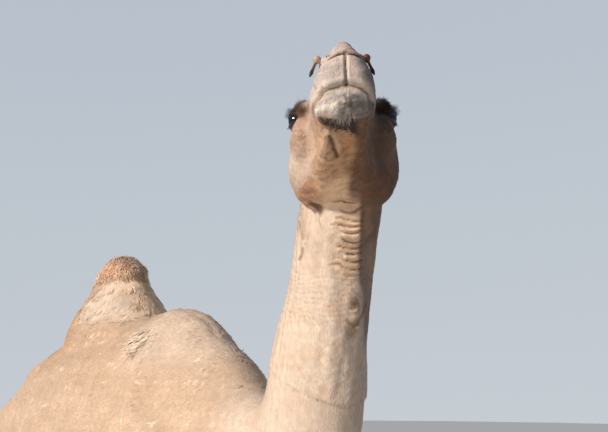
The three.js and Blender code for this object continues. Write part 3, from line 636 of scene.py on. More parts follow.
def sculpt_head(points, normals):
    """How far each point moves outwards, in millimetres."""
    a, s, h = in_head(points)
    side = np.abs(s)
    n_down = -(normals @ head_way(0, 0, 1))
    move = np.zeros(len(points))
    # line of the mouth, with the edges of both lips
    line = mouth_line(s)
    lips = ease(150, 184, a) * (h < -60) * ease(0.95, 0.75, n_down)
    move -= (2.2 + 1.2 * ease(200, 250, a)) * bell(h, line, 2.2) * lips
    move += 1.8 * bell(h, line + 7, 5) * ease(205, 245, a)
    move += 2.4 * bell(h, line - 12, 9) * ease(215, 250, a)
    # split of the upper lip, from the nose down
    front = ease(255, 275, a)
    split = ease(-66, -76, h) * ease(-136, -126, h) * front
    move -= 4.5 * bell(s, 0, 2) * split
    move += 2.4 * bell(side, 20, 12) * bell(h, -102, 24) * front
    move += 0.8 * bell(side, 6, 3) * split
    move -= 4.5 * bell(s, 0, 5) * bell(h, -131, 4.5) * front
    # narrow bridge of the nose between the nostrils' wings
    move -= 8 * ease(245, 280, a) * bell(side, 31, 13) * ease(-66, -50, h)
    # nostrils
    for m in SIDES:
        slit = nostril(m)
        above, below = head_way(0.1, 0.25 * m, 1) * 0.0085, head_way(0, -0.3 * m, 1) * 0.0095
        for line_of, height, width in (
            (slit, -6, 3.4), (slit + above, 3.2, 4.5), (slit - below, 2.2, 5)
        ):
            move += height * bell(near_line(points, line_of, 24), 0, width)
    # ridge of the cheek, muscle of the jaw, and the hollow in front of it
    crest = -58 - 0.12 * a
    move += 3 * bell(h, crest, 11) * ease(-60, -20, a) * ease(150, 90, a) * (side > 40)
    move += 4 * bell(a, -95, 42) * bell(h, -95, 38) * (side > 60)
    move -= 4.5 * bell(a, 70, 40) * bell(h, -92, 20) * (side > 25)
    move -= 3 * bell(a, 200, 26) * bell(h, -84, 18) * (side > 30)
    # underside of the jaw: two branches, a hollow between them and a ridge in it
    under = ease(0.25, 0.7, n_down) * (h < -120)
    hollow = ease(-150, -60, a) * ease(235, 190, a)
    move -= 8 * bell(s, 6, 24) * under * hollow
    move -= 5 * bell(s, 26, 16) * under * bell(a, 120, 90)
    move += 3 * bell(side, 42 + 0.05 * (100 - a), 12) * under * hollow
    for rows, amount, width, _ in THROAT_FOLDS:
        move += amount * bell(under_line(a, s, rows), 0, width) * under
    move -= 5 * blob(points, PIT, 0.017)
    # folds of skin at the corner of the mouth and below the eye
    for m in SIDES:
        for shift, depth in ((0, 2.5), (12, 1.8), (24, 1.2)):
            fold = [[170 - shift, 56, -112], [156 - shift, 58, -128], [150 - shift, 54, -146]]
            fold = along(head_points(fold, m), 24)
            move -= depth * bell(near_line(points, fold, 16), 0, 2.8)
        out, up, ahead = eye_frame(m)
        for reach, depth in ((33, 2.4), (41, 1.6)):
            turn = np.linspace(-0.95, 0.75, 30)[:, None]
            arc = EYES[m] + (np.sin(turn) * ahead - np.cos(turn) * up) * reach / 1000 + out * 0.012
            move -= depth * bell(near_line(points, arc, 14), 0, 3)
    chin = ease(225, 245, a) * ease(-144, -150, h)
    move += 0.7 * chin * ripple(points, 0.013, 5, 2)
    return move + 0.5 * ripple(points, 0.030, 3)


def open_lids(points):
    """Sinks the skin between the lids behind the eyeball."""
    points = points.copy()
    for m in SIDES:
        out, up, ahead = eye_frame(m)
        local = points - EYES[m]
        reach = np.linalg.norm(local, axis=-1)
        way = local / np.maximum(reach, 1e-6)[:, None]
        x, y = way @ ahead / SLIT, way @ up
        between = (y < lid_curve(x, True)) & (y > lid_curve(x, False)) & (np.abs(x) < 1)
        inside = between & (way @ out > 0) & (reach < 0.036)
        points[inside] = EYES[m] + way[inside] * (EYE_RADIUS - 7) / 1000
    return points


THROAT_FRONT = unit(np.array([-0.50, -0.86, 0]))
ACROSS = np.array([0.829, -0.559, 0])
UPWARD = unit(np.array([-0.111, -0.165, 0.98]))


def on_throat(points):
    """Millimetres to the left of the throat's ridge, and above the whorl along the throat."""
    return (points @ ACROSS - 0.515) * 1000, (points @ UPWARD - 1.980) * 1000


def whorl(points, normals):
    """Reach from the middle of the whorl of the hair, 1 at its rim, and the turn round it."""
    across, up = on_throat(points)
    across, up = (across + 13) / 24, up / 33
    reach = np.hypot(across, up) * (1 + 0.09 * ripple(points, 0.04, 24, 2))
    return reach + 6 * (normals @ THROAT_FRONT < -0.2), np.arctan2(up, across)


def neck_rolls(points, normals):
    """Folds across the throat: 0 in their creases to 1 on their crests, and where they are."""
    across, up = on_throat(points)
    up = up - 5 * np.clip(((across + 14) / 22) ** 2, 0, 1.3) + 3.5 * ripple(points, 0.07, 21, 2)
    rolls = np.abs(np.sin(up * math.pi / 15.6)) ** 0.8
    left = -58 + 10 * ripple(points, 0.03, 22, 2)
    where = ease(left, left + 26, across) * ease(16, 4, across) * (normals @ THROAT_FRONT > -0.3)
    return rolls, where * ease(40, 84, up) * ease(232, 216, up) * (points[:, 1] < -0.86)


# short wrinkles beside the throat: across and up, in the throat's own measure
NECK_WRINKLES = [
    [[-129, 212], [-124, 180], [-119, 158]],
    [[-121, 205], [-115, 172], [-111, 142]],
    [[-130, 176], [-126, 160], [-122, 140]],
    [[-129, 94], [-124, 104], [-122, 118]],
]


def sculpt_neck(points, normals):
    """Folds across the throat, its ridge, the whorl of its front and cords down the sides."""
    a, s, h = in_head(points)
    z = points[:, 2]
    facing = ease(0, 0.5, normals @ THROAT_FRONT)
    on_neck = np.where((h < -140) | (a < -150), 1, 0)
    rolls, where = neck_rolls(points, normals)
    across, up = on_throat(points)
    on_neck = np.where((z < 2.09) & (a < -30) & (np.abs(s - 12) < 60), 1, on_neck)
    push = 7.5 * (rolls - 0.55) * where * on_neck
    ridge = ease(-90, -45, up) * ease(235, 205, up) * (normals @ THROAT_FRONT > -0.5)
    move = ridge * (4 * bell(across, -3, 13) - 3 * bell(across, 16, 9) + 5 * bell(across, 36, 14))
    faint = np.abs(np.sin((up + 3 * ripple(points, 0.07, 23, 2)) * math.pi / 11)) - 0.6
    move += 0.8 * faint * ease(-60, -20, up) * ease(90, 60, up) * facing * (1 - where)
    reach, turn = whorl(points, normals)
    low = ease(0.25, 1, np.cos(turn + 1))
    move += 3 * bell(across, -8, 15) * ease(-90, -45, up) * ease(80, 40, up) * facing
    move += 2.4 * bell(reach, 0.62, 0.40) * (0.25 + 0.75 * low)
    move -= 4.5 * bell(np.hypot(reach * np.cos(turn) - 0.3, reach * np.sin(turn) - 0.1), 0, 0.36)
    move -= 5 * bell(reach, 1.16, 0.15) * low
    rings = np.cos(17 * reach + turn) * ease(1.3, 0.8, reach) * ease(-0.9, 0.3, np.cos(turn + 0.6))
    move += 0.6 * rings
    sinew = ripple(points * np.array([1, 1, 0.16]), 0.05, 31, 2)
    move += 1.3 * sinew * on_neck * (1 - where)
    for line in NECK_WRINKLES:
        move -= 2.5 * bell(throat_line(points, normals, line), 0, 3)
    return move, push


def throat_line(points, normals, line):
    """Distance in millimetres, across and along the throat, to a line on the side of the neck."""
    across, up = on_throat(points)
    path = along(np.array([[*place, 0] for place in line]), 16)[:, :2]
    gap = np.full(len(points), 30.0)
    near = (normals @ THROAT_FRONT > -0.2) & (np.abs(across + 122) < 30) & (up > 60) & (up < 240)
    here = np.stack([across[near], up[near]], -1)
    gap[near] = np.linalg.norm(here[:, None] - path[None], axis=-1).min(1)
    return gap


# muscles and hollows of the body: place ahead and up, reach along and up, and height
MUSCLES = [
    (-600, 1500, 120, 150, 12),
    (-470, 1250, 60, 80, 8),
    (-400, 1500, 60, 120, -16),
    (-430, 1712, 48, 38, 13),
    (-700, 1590, 50, 60, 6),
    (560, 1440, 90, 120, 8),
    (480, 1370, 70, 90, 9),
    (690, 1420, 50, 70, 9),
    (485, 1225, 40, 40, 6),
    (620, 1640, 60, 90, -7),
    (420, 1650, 50, 120, -6),
]
# ridges and grooves of the body: where they start and end, width and height
GROOVES = [
    ((505, 1840), (585, 1500), 34, 9),
    ((430, 1240), (400, 1560), 26, -9),
    ((640, 1330), (560, 1250), 16, -5),
    ((-650, 1580), (-560, 1160), 22, -6),
    ((-450, 1380), (-430, 1180), 20, -6),
    ((-330, 1260), (-460, 1330), 26, 5),
]


FINE, COARSE = 0.0028, 0.0095  # faces of the head and neck, and of the body
FLOOR_GAP = 0.0004


def make_skin():
    """One skin: a fine head and neck, and a coarse body, joined round the middle of the neck."""
    head = fused("skin", [*head_shapes(), loft(NECK["rows"][4:], NECK["columns"], 72, 60)], FINE)
    edges = edges_of(head.data)
    points = smoothed(coordinates(head.data), edges, 12, keep=False)
    a, s, h = in_head(points)
    points = smoothed(points, edges, 12, ease(150, 200, a) * ease(-30, -60, h), False)
    throat_top = ease(0.1, 0.5, blob(points, np.array([-0.052, -0.950, 2.058]), 0.064))
    points = smoothed(points, edges, 120, throat_top, False)
    cheek = bell(a, 15, 70) * ease(60, 78, np.abs(s)) * ease(-22, -34, h) * ease(-130, -110, h)
    points = smoothed(points, edges, 60, cheek, False)
    lower_jaw = bell(a, 130, 90) * ease(30, 44, np.abs(s)) * ease(-112, -124, h)
    points = smoothed(points, edges, 40, lower_jaw, False)
    normals = normals_of(head, smoothed(points, edges, 8, keep=False))
    move, push = sculpt_neck(points, normals)
    move = move + sculpt_head(points, normals)
    push_way = unit(np.array([-0.46, -0.78, -0.36]))
    points = points + (normals * move[:, None] + push_way * push[:, None]) / 1000
    points = smoothed(points, edges, 2)
    points = points - normals_of(head, points) * 0.001
    points = open_lids(points)
    normals_of(head, points)
    body = fused("body", body_shapes(), COARSE)
    edges = edges_of(body.data)
    points = smoothed(coordinates(body.data), edges, 40)
    normals = normals_of(body, smoothed(points, edges, 8, keep=False))
    points = points + normals * sculpt_body(points, normals)[:, None] / 1000
    points[:, 2] = np.maximum(points[:, 2], FLOOR_GAP)
    normals_of(body, points)
    cut_off(head, NECK_CUT + NECK_WAY * 0.003, -NECK_WAY)
    cut_off(body, NECK_CUT - NECK_WAY * 0.003, NECK_WAY)
    bm = bmesh.new()
    bm.from_mesh(head.data)
    bm.from_mesh(body.data)
    rim = [edge for edge in bm.edges if edge.is_boundary]
    bmesh.ops.bridge_loops(bm, edges=rim)
    bmesh.ops.recalc_face_normals(bm, faces=bm.faces)
    bm.to_mesh(head.data)
    bm.free()
    bpy.data.objects.remove(body)
    head.data.polygons.foreach_set("use_smooth", np.ones(len(head.data.polygons), bool))
    return head


def sculpt_body(points, normals):
    """The short coat's depth, ribs, the groove of the flank, joints and tendons."""
    ahead, side, z = in_body(points)
    outward = np.abs(normals[:, 0])
    move = -2.5 * ease(150, 300, z) - 0.5
    flank = ease(0.45, 0.8, outward) * ease(1180, 1300, z) * ease(1800, 1660, z)
    ribs = np.sin((ahead + 0.22 * (z - 1400)) * 2 * math.pi / 62)
    move += 0.9 * ribs * flank * ease(-330, -200, ahead) * ease(430, 330, ahead)
    flat = ease(0.2, 0.7, outward)
    for at, height, along_it, up_it, amount in MUSCLES:
        move += amount * bell(ahead, at, along_it) * bell(z, height, up_it) * flat
    for (a0, z0), (a1, z1), width, amount in GROOVES:
        square = (a1 - a0) ** 2 + (z1 - z0) ** 2
        share = np.clip(((ahead - a0) * (a1 - a0) + (z - z0) * (z1 - z0)) / square, 0, 1)
        gap = np.hypot(ahead - a0 - share * (a1 - a0), z - z0 - share * (z1 - z0))
        move += amount * bell(gap, 0, width) * flat
    move += 2.2 * ripple(points, 0.22, 41, 3) * ease(700, 1200, z)
    move += 1.2 * ripple(points, 0.06, 44, 2) * ease(1860, 1940, z)
    move += 0.9 * ripple(points * UPRIGHT, 0.06, 42, 2) * ease(1250, 1100, z)
    # hollows beside the tendons of the lower legs
    for centre, low, high in ((470, 240, 560), (-750, 250, 540)):
        tendon = ahead - centre + 22
        groove = 3.2 * bell(tendon, 0, 7) * ease(0.6, 0.9, outward)
        move -= groove * ease(low, low + 60, z) * ease(high, high - 60, z)
    crease = body_at(
        *np.array([[560, -16, 1890], [574, -13, 1880], [620, -8, 1862], [682, -10, 1818]], float).T
    )
    move -= 5 * bell(near_line(points, along(crease, 40), 60), 0, 11)
    # the hump's wool stands on a slightly fuller, lumpy cap
    cap = ease(2010, 2080, z) * ease(400, 250, np.abs(ahead + 40))
    bulge = ease(2026, 2068, z) * ease(300, 200, np.abs(ahead + 40))
    lumps = cap * (1.2 + 2 * ripple(points, 0.045, 43, 2))
    move += lumps + bulge * (7 + 4 * ease(0, 0.7, normals @ ACROSS))
    # crease of the skin where the toes part
    move -= 3 * (z < 90) * bell(np.abs(side), 157, 5) * ease(0.2, 0.7, -normals[:, 1])
    return move


# ---------------------------------------------------------------- markings, with painted light and shade
def albedo(*levels):
    level = np.array(levels) / 255
    return np.where(level <= 0.04045, level / 12.92, ((level + 0.055) / 1.055) ** 2.4)


SAND = albedo(198, 167, 139)
CREAM = albedo(218, 196, 174)
TAN = albedo(178, 139, 107)
RUST = albedo(224, 172, 134)
PALE = albedo(196, 181, 170)
PINK = albedo(196, 160, 142)
ORANGE = albedo(176, 118, 70)
BROWN = albedo(96, 66, 47)
DARK = albedo(40, 28, 22)
HORN = albedo(62, 50, 42)

HEAD_CUT = (0.985, 0.174)  # the way from the neck into the head, ahead and up


def head_share(points):
    """1 on the head and 0 on the neck, with a soft border behind the cheeks."""
    a, _, h = in_head(points)
    return ease(-35, 35, (a + 178) * HEAD_CUT[0] + (h + 60) * HEAD_CUT[1])


def blend(colour, target, share):
    return colour + (target - colour) * np.clip(share, 0, 1)[:, None]


def layered(colour, *layers):
    """colour with each layer's colour laid over it in turn, by its share."""
    for target, share in layers:
        colour = blend(colour, target, share)
    return colour


def loose_lock(points):
    """1 at the loose lock of shed wool beside the hump, less round it."""
    return blob(points, np.array([-0.132, -0.033, 1.809]), 0.040)


def coat_colour(points, normals):
    """The coat's colour at places on the skin, with shade painted on the camel's left side, in
    creases and under the chin, and light on the throat.
    """
    ahead, side, z = in_body(points)
    broad, small = ripple(points, 0.30, 61), ripple(points, 0.07, 62)
    flecks = ripple(points, 0.018, 63, 2)
    down = -normals[:, 2]
    colour = everywhere(SAND, points)
    # trunk, hump and legs
    trunk = ease(900, 780, ahead)
    colour = layered(
        colour,
        (TAN, 0.30 * ease(1600, 1830, z + 60 * broad) * trunk),
        (CREAM, 0.50 * ease(330, 480, ahead) * ease(1680, 1800, z) * trunk),
        (CREAM, 0.7 * ease(0.2, 0.8, down) * ease(900, 1050, z)),
        (CREAM, 0.55 * ease(900, 500, z + 80 * broad)),
    )
    flank = ease(1860, 1920, z) * ease(420, 330, np.abs(ahead + 60))
    colour = layered(
        colour,
        (SAND * 1.12, 0.6 * flank * (0.6 + 0.5 * small)),
        (CREAM * 1.05, 0.6 * flank * ease(-0.3, 0.4, broad + 0.5 * small) * ease(2060, 2000, z)),
    )
    golden = albedo(224, 184, 138)
    colour = blend(colour, golden, 0.55 * flank * ease(-0.060, 0.020, points[:, 0] + 0.03 * flecks))
    cap = ease(2038, 2070, z + 14 * small + 6 * flecks) * ease(300, 250, np.abs(ahead + 40))
    colour = layered(
        colour,
        (RUST, 0.9 * cap),
        (RUST * 0.8, 0.3 * cap * ease(0, 0.8, small)),
        (CREAM * 1.05, 0.5 * cap * ease(-0.060, -0.020, points[:, 0] + 0.02 * flecks)),
    )
    gold = ease(1700, 1800, z) * ease(0, -160, ahead + 60 * broad) * trunk * (1 - cap)
    colour = blend(colour, albedo(190, 148, 108), 0.5 * gold)
    loose = loose_lock(points)
    on_tail = np.abs(side) < 60
    colour = layered(
        colour,
        (CREAM * 1.08, 0.9 * ease(0.3, 0.7, loose + 0.25 * flecks + 0.15 * small)),
        (BROWN, 0.35 * bell(z, 630, 60) * ease(0.1, 0.8, -normals[:, 1]) * (z < 800)),
        (TAN * 0.8, 0.5 * ease(120, 40, z)),
        (TAN, 0.6 * ease(-740, -800, ahead) * ease(1650, 1550, z) * (z > 1000)),
        (BROWN, 0.8 * ease(-800, -830, ahead) * ease(1280, 1180, z) * (z > 900) * on_tail),
    )
    # neck: cream down the front and left, browner over the crest; the whorl's hollow, the shadow
    # below its fold and the wrinkles beside the throat are painted darker as shade
    neck = ease(820, 960, ahead) * (1 - head_share(points))
    colour = blend(colour, CREAM, 0.72 * neck)
    back = ease(0.1, 0.8, normals[:, 1])
    colour = blend(colour, TAN, 0.6 * neck * back)
    facing = normals @ THROAT_FRONT
    rolls, folds = neck_rolls(points, normals)
    across, up = on_throat(points)
    colour = layered(
        colour,
        (ORANGE, 0.10 * neck * ease(0.4, 0.9, facing) * bell(z, 1900, 70) * ease(-0.2, 0.6, small)),
        (TAN, 0.25 * neck * ease(0, 0.8, small)),
    )
    reach, turn = whorl(points, normals)
    low = ease(0.25, 1, np.cos(turn + 1))
    side_of = ease(-0.9, 0.3, np.cos(turn + 0.6))
    rings = 0.35 * ease(1.3, 0.8, reach) * side_of * ease(0.3, -0.4, np.cos(17 * reach + turn))
    colour = blend(colour, TAN, rings)
    # the whorl's hollow is painted brown and the fold under its lower rim dark orange, both as
    # shade
    middle = np.hypot(reach * np.cos(turn) - 0.3, reach * np.sin(turn) - 0.1)
    colour = layered(
        colour,
        (BROWN * 1.2, 0.6 * bell(middle, 0, 0.38)),
        (ORANGE * 0.4, 0.7 * bell(reach, 1.18, 0.14) * low),
    )
    # painted shadow below the whorl's fold
    shadow_under_whorl = bell(across + 14 + 5 * small, 0, 17) * bell(up + 56 + 4 * flecks, 0, 17)
    shadow_under_whorl = shadow_under_whorl * (facing > -0.2)
    colour = blend(colour, BROWN * 1.5, 0.6 * neck * ease(0.15, 0.8, shadow_under_whorl))
    beside = bell(across + 46 + 0.5 * (up + 30), 0, 10) * bell(up + 30, 0, 26) * (facing > -0.2)
    colour = blend(colour, ORANGE * 0.9, 0.35 * neck * beside * (0.6 + 0.5 * flecks))
    # the wrinkles beside the throat are painted brown as shade in their grooves
    for line in NECK_WRINKLES:
        wrinkle_shade = bell(throat_line(points, normals, line), 0, 4)
        colour = blend(colour, BROWN * 1.2, 0.65 * neck * wrinkle_shade)
    # head
    a, s, h = in_head(points)
    wide = np.abs(s)
    n_down = -(normals @ head_way(0, 0, 1))
    head = head_share(points)
    face = everywhere(albedo(178, 151, 131), points)
    face = layered(
        face,
        (TAN, 0.5 * ease(20, 80, h + 20 * small)),
        (CREAM, 0.55 * bell(h, -70, 45) * bell(a, -20, 110) * (wide > 50)),
        (TAN, 0.45 * bell(a, -110, 50) * bell(h, -140, 36)),
        # the cheek on the camel's left (s > 0) is painted dark brown as shade
        (BROWN, 0.85 * ease(36, 70, s) * ease(20, -20, h) * ease(-150, -60, a)),
    )
    left_cheek = blob(points, head_at(34, -90, -50), 0.055)
    streaks = ripple(points * UPRIGHT, 0.016, 65, 2)
    tanned = 0.45 * ease(-0.1, 1, left_cheek + 0.3 * streaks) * ease(0, 0.6, left_cheek)
    face = blend(face, albedo(172, 120, 88), tanned)
    under = ease(0.3, 0.8, n_down) * (h < -120)
    line = mouth_line(s)
    low_jaw = ease(line - 1, line - 5, h) * ease(242, 226, a + 5 * small) * ease(20, 60, a)
    muzzle = ease(150, 215, a + 0.6 * np.minimum(h + 70, 0) + 8 * small) * (1 - low_jaw)
    snout = ease(-60, -100, h) * ease(10, 80, a) * (1 - muzzle)
    # On the camel's left (s > 0) the snout, the lower jaw and the right half of the muzzle are
    # painted darker as shade.
    face = layered(
        face,
        (albedo(192, 152, 120), 0.7 * snout * (s < 0)),
        (BROWN * 1.2, 0.8 * snout * (s > 0)),
        (PALE, 0.9 * muzzle),
        (PALE * 0.66, 0.75 * muzzle * ease(4, 26, s + 5 * small + 3 * flecks) * (h > -136)),
        (
            PALE * 0.36,
            0.7 * muzzle * ease(20, 42, s + 5 * small + 4 * flecks) * ease(-134, -112, h),
        ),
        (albedo(190, 150, 118), 0.8 * low_jaw * (s < 0)),
        (BROWN * 1.1, 0.75 * low_jaw * (s > 0)),
        (TAN, 0.35 * muzzle * ease(-40, 0, h) * ease(300, 285, a)),
        (PINK, 0.45 * ease(292, 306, a) * ease(-66, -50, h)),
        (PINK, 0.25 * ease(270, 300, a) * ease(-135, -100, h + 12 * small)),
    )
    lip = ease(222, 240, a) * ease(-143, -150, h)
    grain = ripple(points, 0.012, 64, 2)
    face = layered(
        face,
        (PALE * 0.62, 0.75 * lip * (0.8 + 0.3 * grain)),
        # the chin's right half is painted dark grey: grey hair, deepened as shade
        (PALE * 0.28, 0.85 * lip * ease(-14, 4, s + 8 * small + 7 * grain)),
        (PALE * 0.16, 0.6 * lip * bell(s, 4, 15) * ease(-0.5, 0.5, grain) * bell(h, -162, 9)),
        (
            albedo(238, 222, 202),
            0.85 * lip * ease(-10, -24, s + 4 * grain) * ease(0.1, 0.7, bell(h, -167, 10)),
        ),
        (CREAM * 1.08, 0.7 * bell(h, line - 4.5, 3) * ease(238, 256, a) * ease(34, 20, s)),
        (CREAM * 1.06, 0.8 * bell(h, line + 7, 6) * ease(238, 256, a) * ease(3, 9, wide)),
    )
    throat = under * ease(262, 244, a + 5 * small)
    face = layered(
        face,
        (albedo(204, 160, 120), 0.8 * throat * ease(-120, 100, a + 20 * small)),
        (BROWN * 1.5, 0.35 * throat * ease(-0.1, 0.6, ripple(points * UPRIGHT, 0.02, 66, 2))),
        (
            albedo(204, 142, 92),
            0.6 * throat * bell(a, 150, 46) * bell(s, 4, 16) * (0.8 + 0.3 * grain),
        ),
        # right of the throat's middle it is painted dark brown as shade
        (
            BROWN * 1.1,
            0.85 * throat * ease(8, 34, s + 6 * small + 0.10 * (150 - a))
            * ease(-110, -10, a + 20 * small),
        ),
        (albedo(196, 140, 104), 0.7 * throat * ease(60, -40, a + 25 * small) * ease(26, -10, s)),
        # the lower throat's left and middle are painted pale as light falling there
        (
            albedo(250, 210, 166),
            0.85 * throat * ease(50, -40, a + 25 * small) * ease(18, -6, s + 5 * small)
            * ease(-62, -38, s),
        ),
    )
    # painted shadow under the chin's lower edge, over its dark hair
    low_edge = a - 192 + 0.55 * s + 7 * grain
    shade = ease(-8, 8, low_edge) * ease(256, 244, a) * ease(-52, -36, s) * ease(40, 20, s)
    face = blend(face, DARK * 1.2, 0.94 * shade * ease(0.05, 0.35, n_down) * (h < -152))
    # ridges are painted pale as light and creases dark as shade
    for rows, amount, width, share in THROAT_FOLDS:
        fold = share * bell(under_line(a, s, rows), 0, width * 0.8)
        tone = albedo(255, 218, 180) if amount > 0 else DARK
        face = blend(face, tone, fold * throat * (1 - 0.7 * shade))
    face = layered(
        face,
        # a darker tan patch above the jaw's pit is painted shade
        (TAN * 0.8, 0.5 * blob(points, head_at(-60, -70, -150), 0.030)),
        (PALE * 0.72, 0.22 * muzzle * ease(0, 0.8, flecks)),
    )
    for m in SIDES:
        _, up, forward = eye_frame(m)
        # the brow and the patch in front of the eye are brown hair; on the camel's left (m > 0)
        # they are painted darker and wider as shade
        brow_tone_and_shade, front_tone_and_shade, much = (0.38, 0.5, 0.9) if m > 0 else (0.65, 0.8, 0.35)
        gap = gap_to(points, EYES[m])
        over = bell(gap_to(points, EYES[m] + up * 0.022 + forward * 0.022), 0, 27)
        front = bell(gap_to(points, EYES[m] + forward * 0.036 - up * 0.004), 0, 26)
        below = bell(gap_to(points, EYES[m] - up * 0.014 + forward * 0.020), 0, 20)
        tear = head_points([[22, 100, -16], [32, 97, -30], [33, 98, -48], [27, 103, -60]], m)
        tear = along(tear, 30)
        rim = 12 + 8 * ease(-5, 12, (points - EYES[m]) @ up * 1000)
        face = blend(face, BROWN, 0.75 * bell(gap, 22, rim))
        face = blend(face, BROWN * brow_tone_and_shade, 0.93 * ease(0.2, 0.75, over + 0.15 * small))
        face = blend(face, BROWN * front_tone_and_shade, much * ease(0.2, 0.8, front + 0.15 * small))
        face = blend(face, TAN * 0.7, 0.5 * below)
        face = blend(face, BROWN, 0.7 * bell(near_line(points, tear, 24), 0, 4))
        slit = nostril(m)
        above = near_line(points, slit + 0.007 * head_way(0, 0.2 * m, 1), 20)
        face = blend(face, PINK * 0.9, 0.5 * bell(above, 0, 5))
        beneath = near_line(points, slit - 0.008 * head_way(0, -0.2 * m, 1), 20)
        face = blend(face, CREAM * 1.06, 0.8 * bell(beneath, 0, 4))
        # the nostril's slit is painted near black as shade
        face = blend(face, DARK, 0.95 * ease(5, 2.5, near_line(points, slit, 20)))
    # the line of the mouth is painted brown as shade in its crease
    level = (1 - under) * ease(150, 175, a)
    face = layered(
        face,
        (BROWN * 0.8, 0.85 * bell(h, line, 2.4) * level),
        (BROWN * 1.8, 0.30 * bell(h, line, 6) * level),
    )
    split = ease(-68, -76, h) * ease(-138, -130, h) * ease(255, 275, a)
    face = layered(
        face,
        (CREAM * 1.06, 0.35 * bell(wide, 5, 3) * split * (1 + (h > -100))),
        # the split of the lip and the notch below it are painted dark as shade
        (DARK, 0.85 * bell(s, 0, 1.3) * split),
        (DARK, 0.85 * bell(s, 0, 4.5) * bell(h, -132.5, 4) * ease(255, 275, a)),
    )
    outwards = np.sign(s) * (normals @ head_way(0, 1, 0))
    inner_ear = ease(-175, -160, -a) * ease(70, 90, h) * ease(0.3, 0.8, outwards)
    face = blend(face, PINK, 0.35 * inner_ear)
    colour = colour + (face - colour) * head[:, None]
    # the throat's front: cream to the left, folds in its middle, brown to the right, painted there
    # as shade
    across, up = on_throat(points)
    front = ease(0, 0.5, facing) * ease(232, 205, up + 6 * small) * ease(820, 960, ahead)
    colour = blend(colour, CREAM, 0.7 * head * front)
    # the pit at the jaw's angle is painted brown as shade
    pit_shade = blob(points, PIT, 0.022) + 0.1 * small
    colour = layered(
        colour,
        (BROWN * 0.9, 0.85 * ease(0.3, 0.7, pit_shade)),
        (albedo(222, 182, 142), 0.5 * folds),
        # the creases of the rolls are painted dark orange as shade
        (ORANGE * 0.32, 0.85 * folds * ease(0.6, 0.1, rolls)),
    )
    # the neck's side right of the throat's ridge is painted brown as shade
    painted_shade_side = ease(-3, 5, across - 12 * ease(60, 10, up)) * ease(360, 240, up + 20 * small)
    painted_shade_side = painted_shade_side * ease(-0.8, -0.1, facing + 0.12 * broad)
    painted_shade_side = painted_shade_side * ease(-0.76, -0.88, points[:, 1] + 0.02 * small) * ease(-140, -60, up)
    colour = blend(colour, BROWN * 1.4, (0.62 + 0.20 * ease(90, 190, up)) * painted_shade_side)
    return colour * (1 + 0.05 * broad + 0.05 * small + 0.05 * flecks)[:, None]


# ---------------------------------------------------------------- lie of the coat
NECK_TABLE = sections(NECK["rows"], 60)
NECK_AXIS = body_at(NECK_TABLE[:, 0], NECK_TABLE[:, 2], NECK_TABLE[:, 1])
NECK_TANGENT = unit(np.gradient(NECK_AXIS, axis=0))
APEX = body_at(-42, 0, 2160)


def on_axis(points, values):
    """Values of the neck's axis beside each point."""
    along_it = NECK_AXIS[:, 2] - NECK_AXIS[:, 1]
    q = points[:, 2] - points[:, 1]
    return np.stack([np.interp(q, along_it, values[:, k]) for k in range(values.shape[1])], -1)


def lie_of(points, normals):
    """The way the hair lies, along the skin."""
    ahead, _, z = in_body(points)
    trunk = everywhere([0, 0.9, -0.42], points)
    leg = everywhere([0, 0.14, -1], points)
    way = trunk + (leg - trunk) * ease(1420, 1000, z)[:, None]
    round_hump = unit(points - APEX) + np.array([0, 0, -0.25])
    hump = ease(1860, 1960, z) * ease(480, 380, np.abs(ahead + 30))
    way = way + (round_hump - way) * hump[:, None]
    neck = ease(760, 900, ahead)
    way = way + (-on_axis(points, NECK_TANGENT) - way) * neck[:, None]
    a, _, h = in_head(points)
    head = head_share(points)
    back = head_way(-1, 0, -0.30)
    nose = head_way(-0.5, 0, -1)
    face = back + (nose - back) * (ease(255, 300, a) * (h > -138))[:, None]
    way = way + (face - way) * head[:, None]
    way = way + 0.16 * np.stack([ripple(points, 0.09, 71 + k, 2) for k in range(3)], -1)
    return unit(way - normals * np.einsum("ij,ij->i", way, normals)[:, None])


# ---------------------------------------------------------------- unwrap of the skin's own shape
def unwrap(points, region):
    """Two numbers from 0 to 1: round the limb and along it."""
    ahead, side, z = in_body(points)
    if region == "head":
        a, s, h = in_head(points)
        return np.arctan2(s, h + 70) / (2 * math.pi) + 0.5, (a + 250) / 580
    if region == "neck":
        local = points - on_axis(points, NECK_AXIS)
        turn = np.arctan2(local[:, 0], -local[:, 1] - 0.3 * local[:, 2])
        return turn / (2 * math.pi) + 0.5, (points[:, 2] - 1.2) / 1.1
    if region == "legs":
        fore = ahead > 0
        axis = np.where(fore, 480, np.where(z > 600, -540 - 0.34 * (1140 - z).clip(0, 640), -755))
        turn = np.arctan2(np.abs(side) - 160, ahead - axis) / (2 * math.pi) + 0.5
        return (turn + fore + 2 * (side > 0)) / 4, z / 1500
    return np.arctan2(side, z - 1480) / (2 * math.pi) + 0.5, (ahead + 900) / 1900


# ---------------------------------------------------------------- tufts
TUFT_FACES = np.array(
    [[4, 1, 0], [3, 4, 0], [5, 2, 1], [4, 5, 1], [3, 0, 2]]
    + [[5, 3, 2], [6, 4, 3], [6, 5, 4], [6, 3, 5], [0, 1, 2]]
)
TUFT_UV = np.array([[-1, 0], [1, 0], [0, 0], [-0.8, 1], [0.8, 1], [0, 1], [0, 2]])
PATCH = 0.0014  # half the breadth of a tuft's patch in the map OFBake


def copies(faces, per, count):
    """The faces of count like shapes of per points each."""
    return (faces[None] + per * np.arange(count)[:, None, None]).reshape(-1, 3)


def shade_as(obj, ways):
    """Shades the object as if its points faced those ways."""
    obj.data.normals_split_custom_set_from_vertices(unit(ways).reshape(-1, 3).tolist())


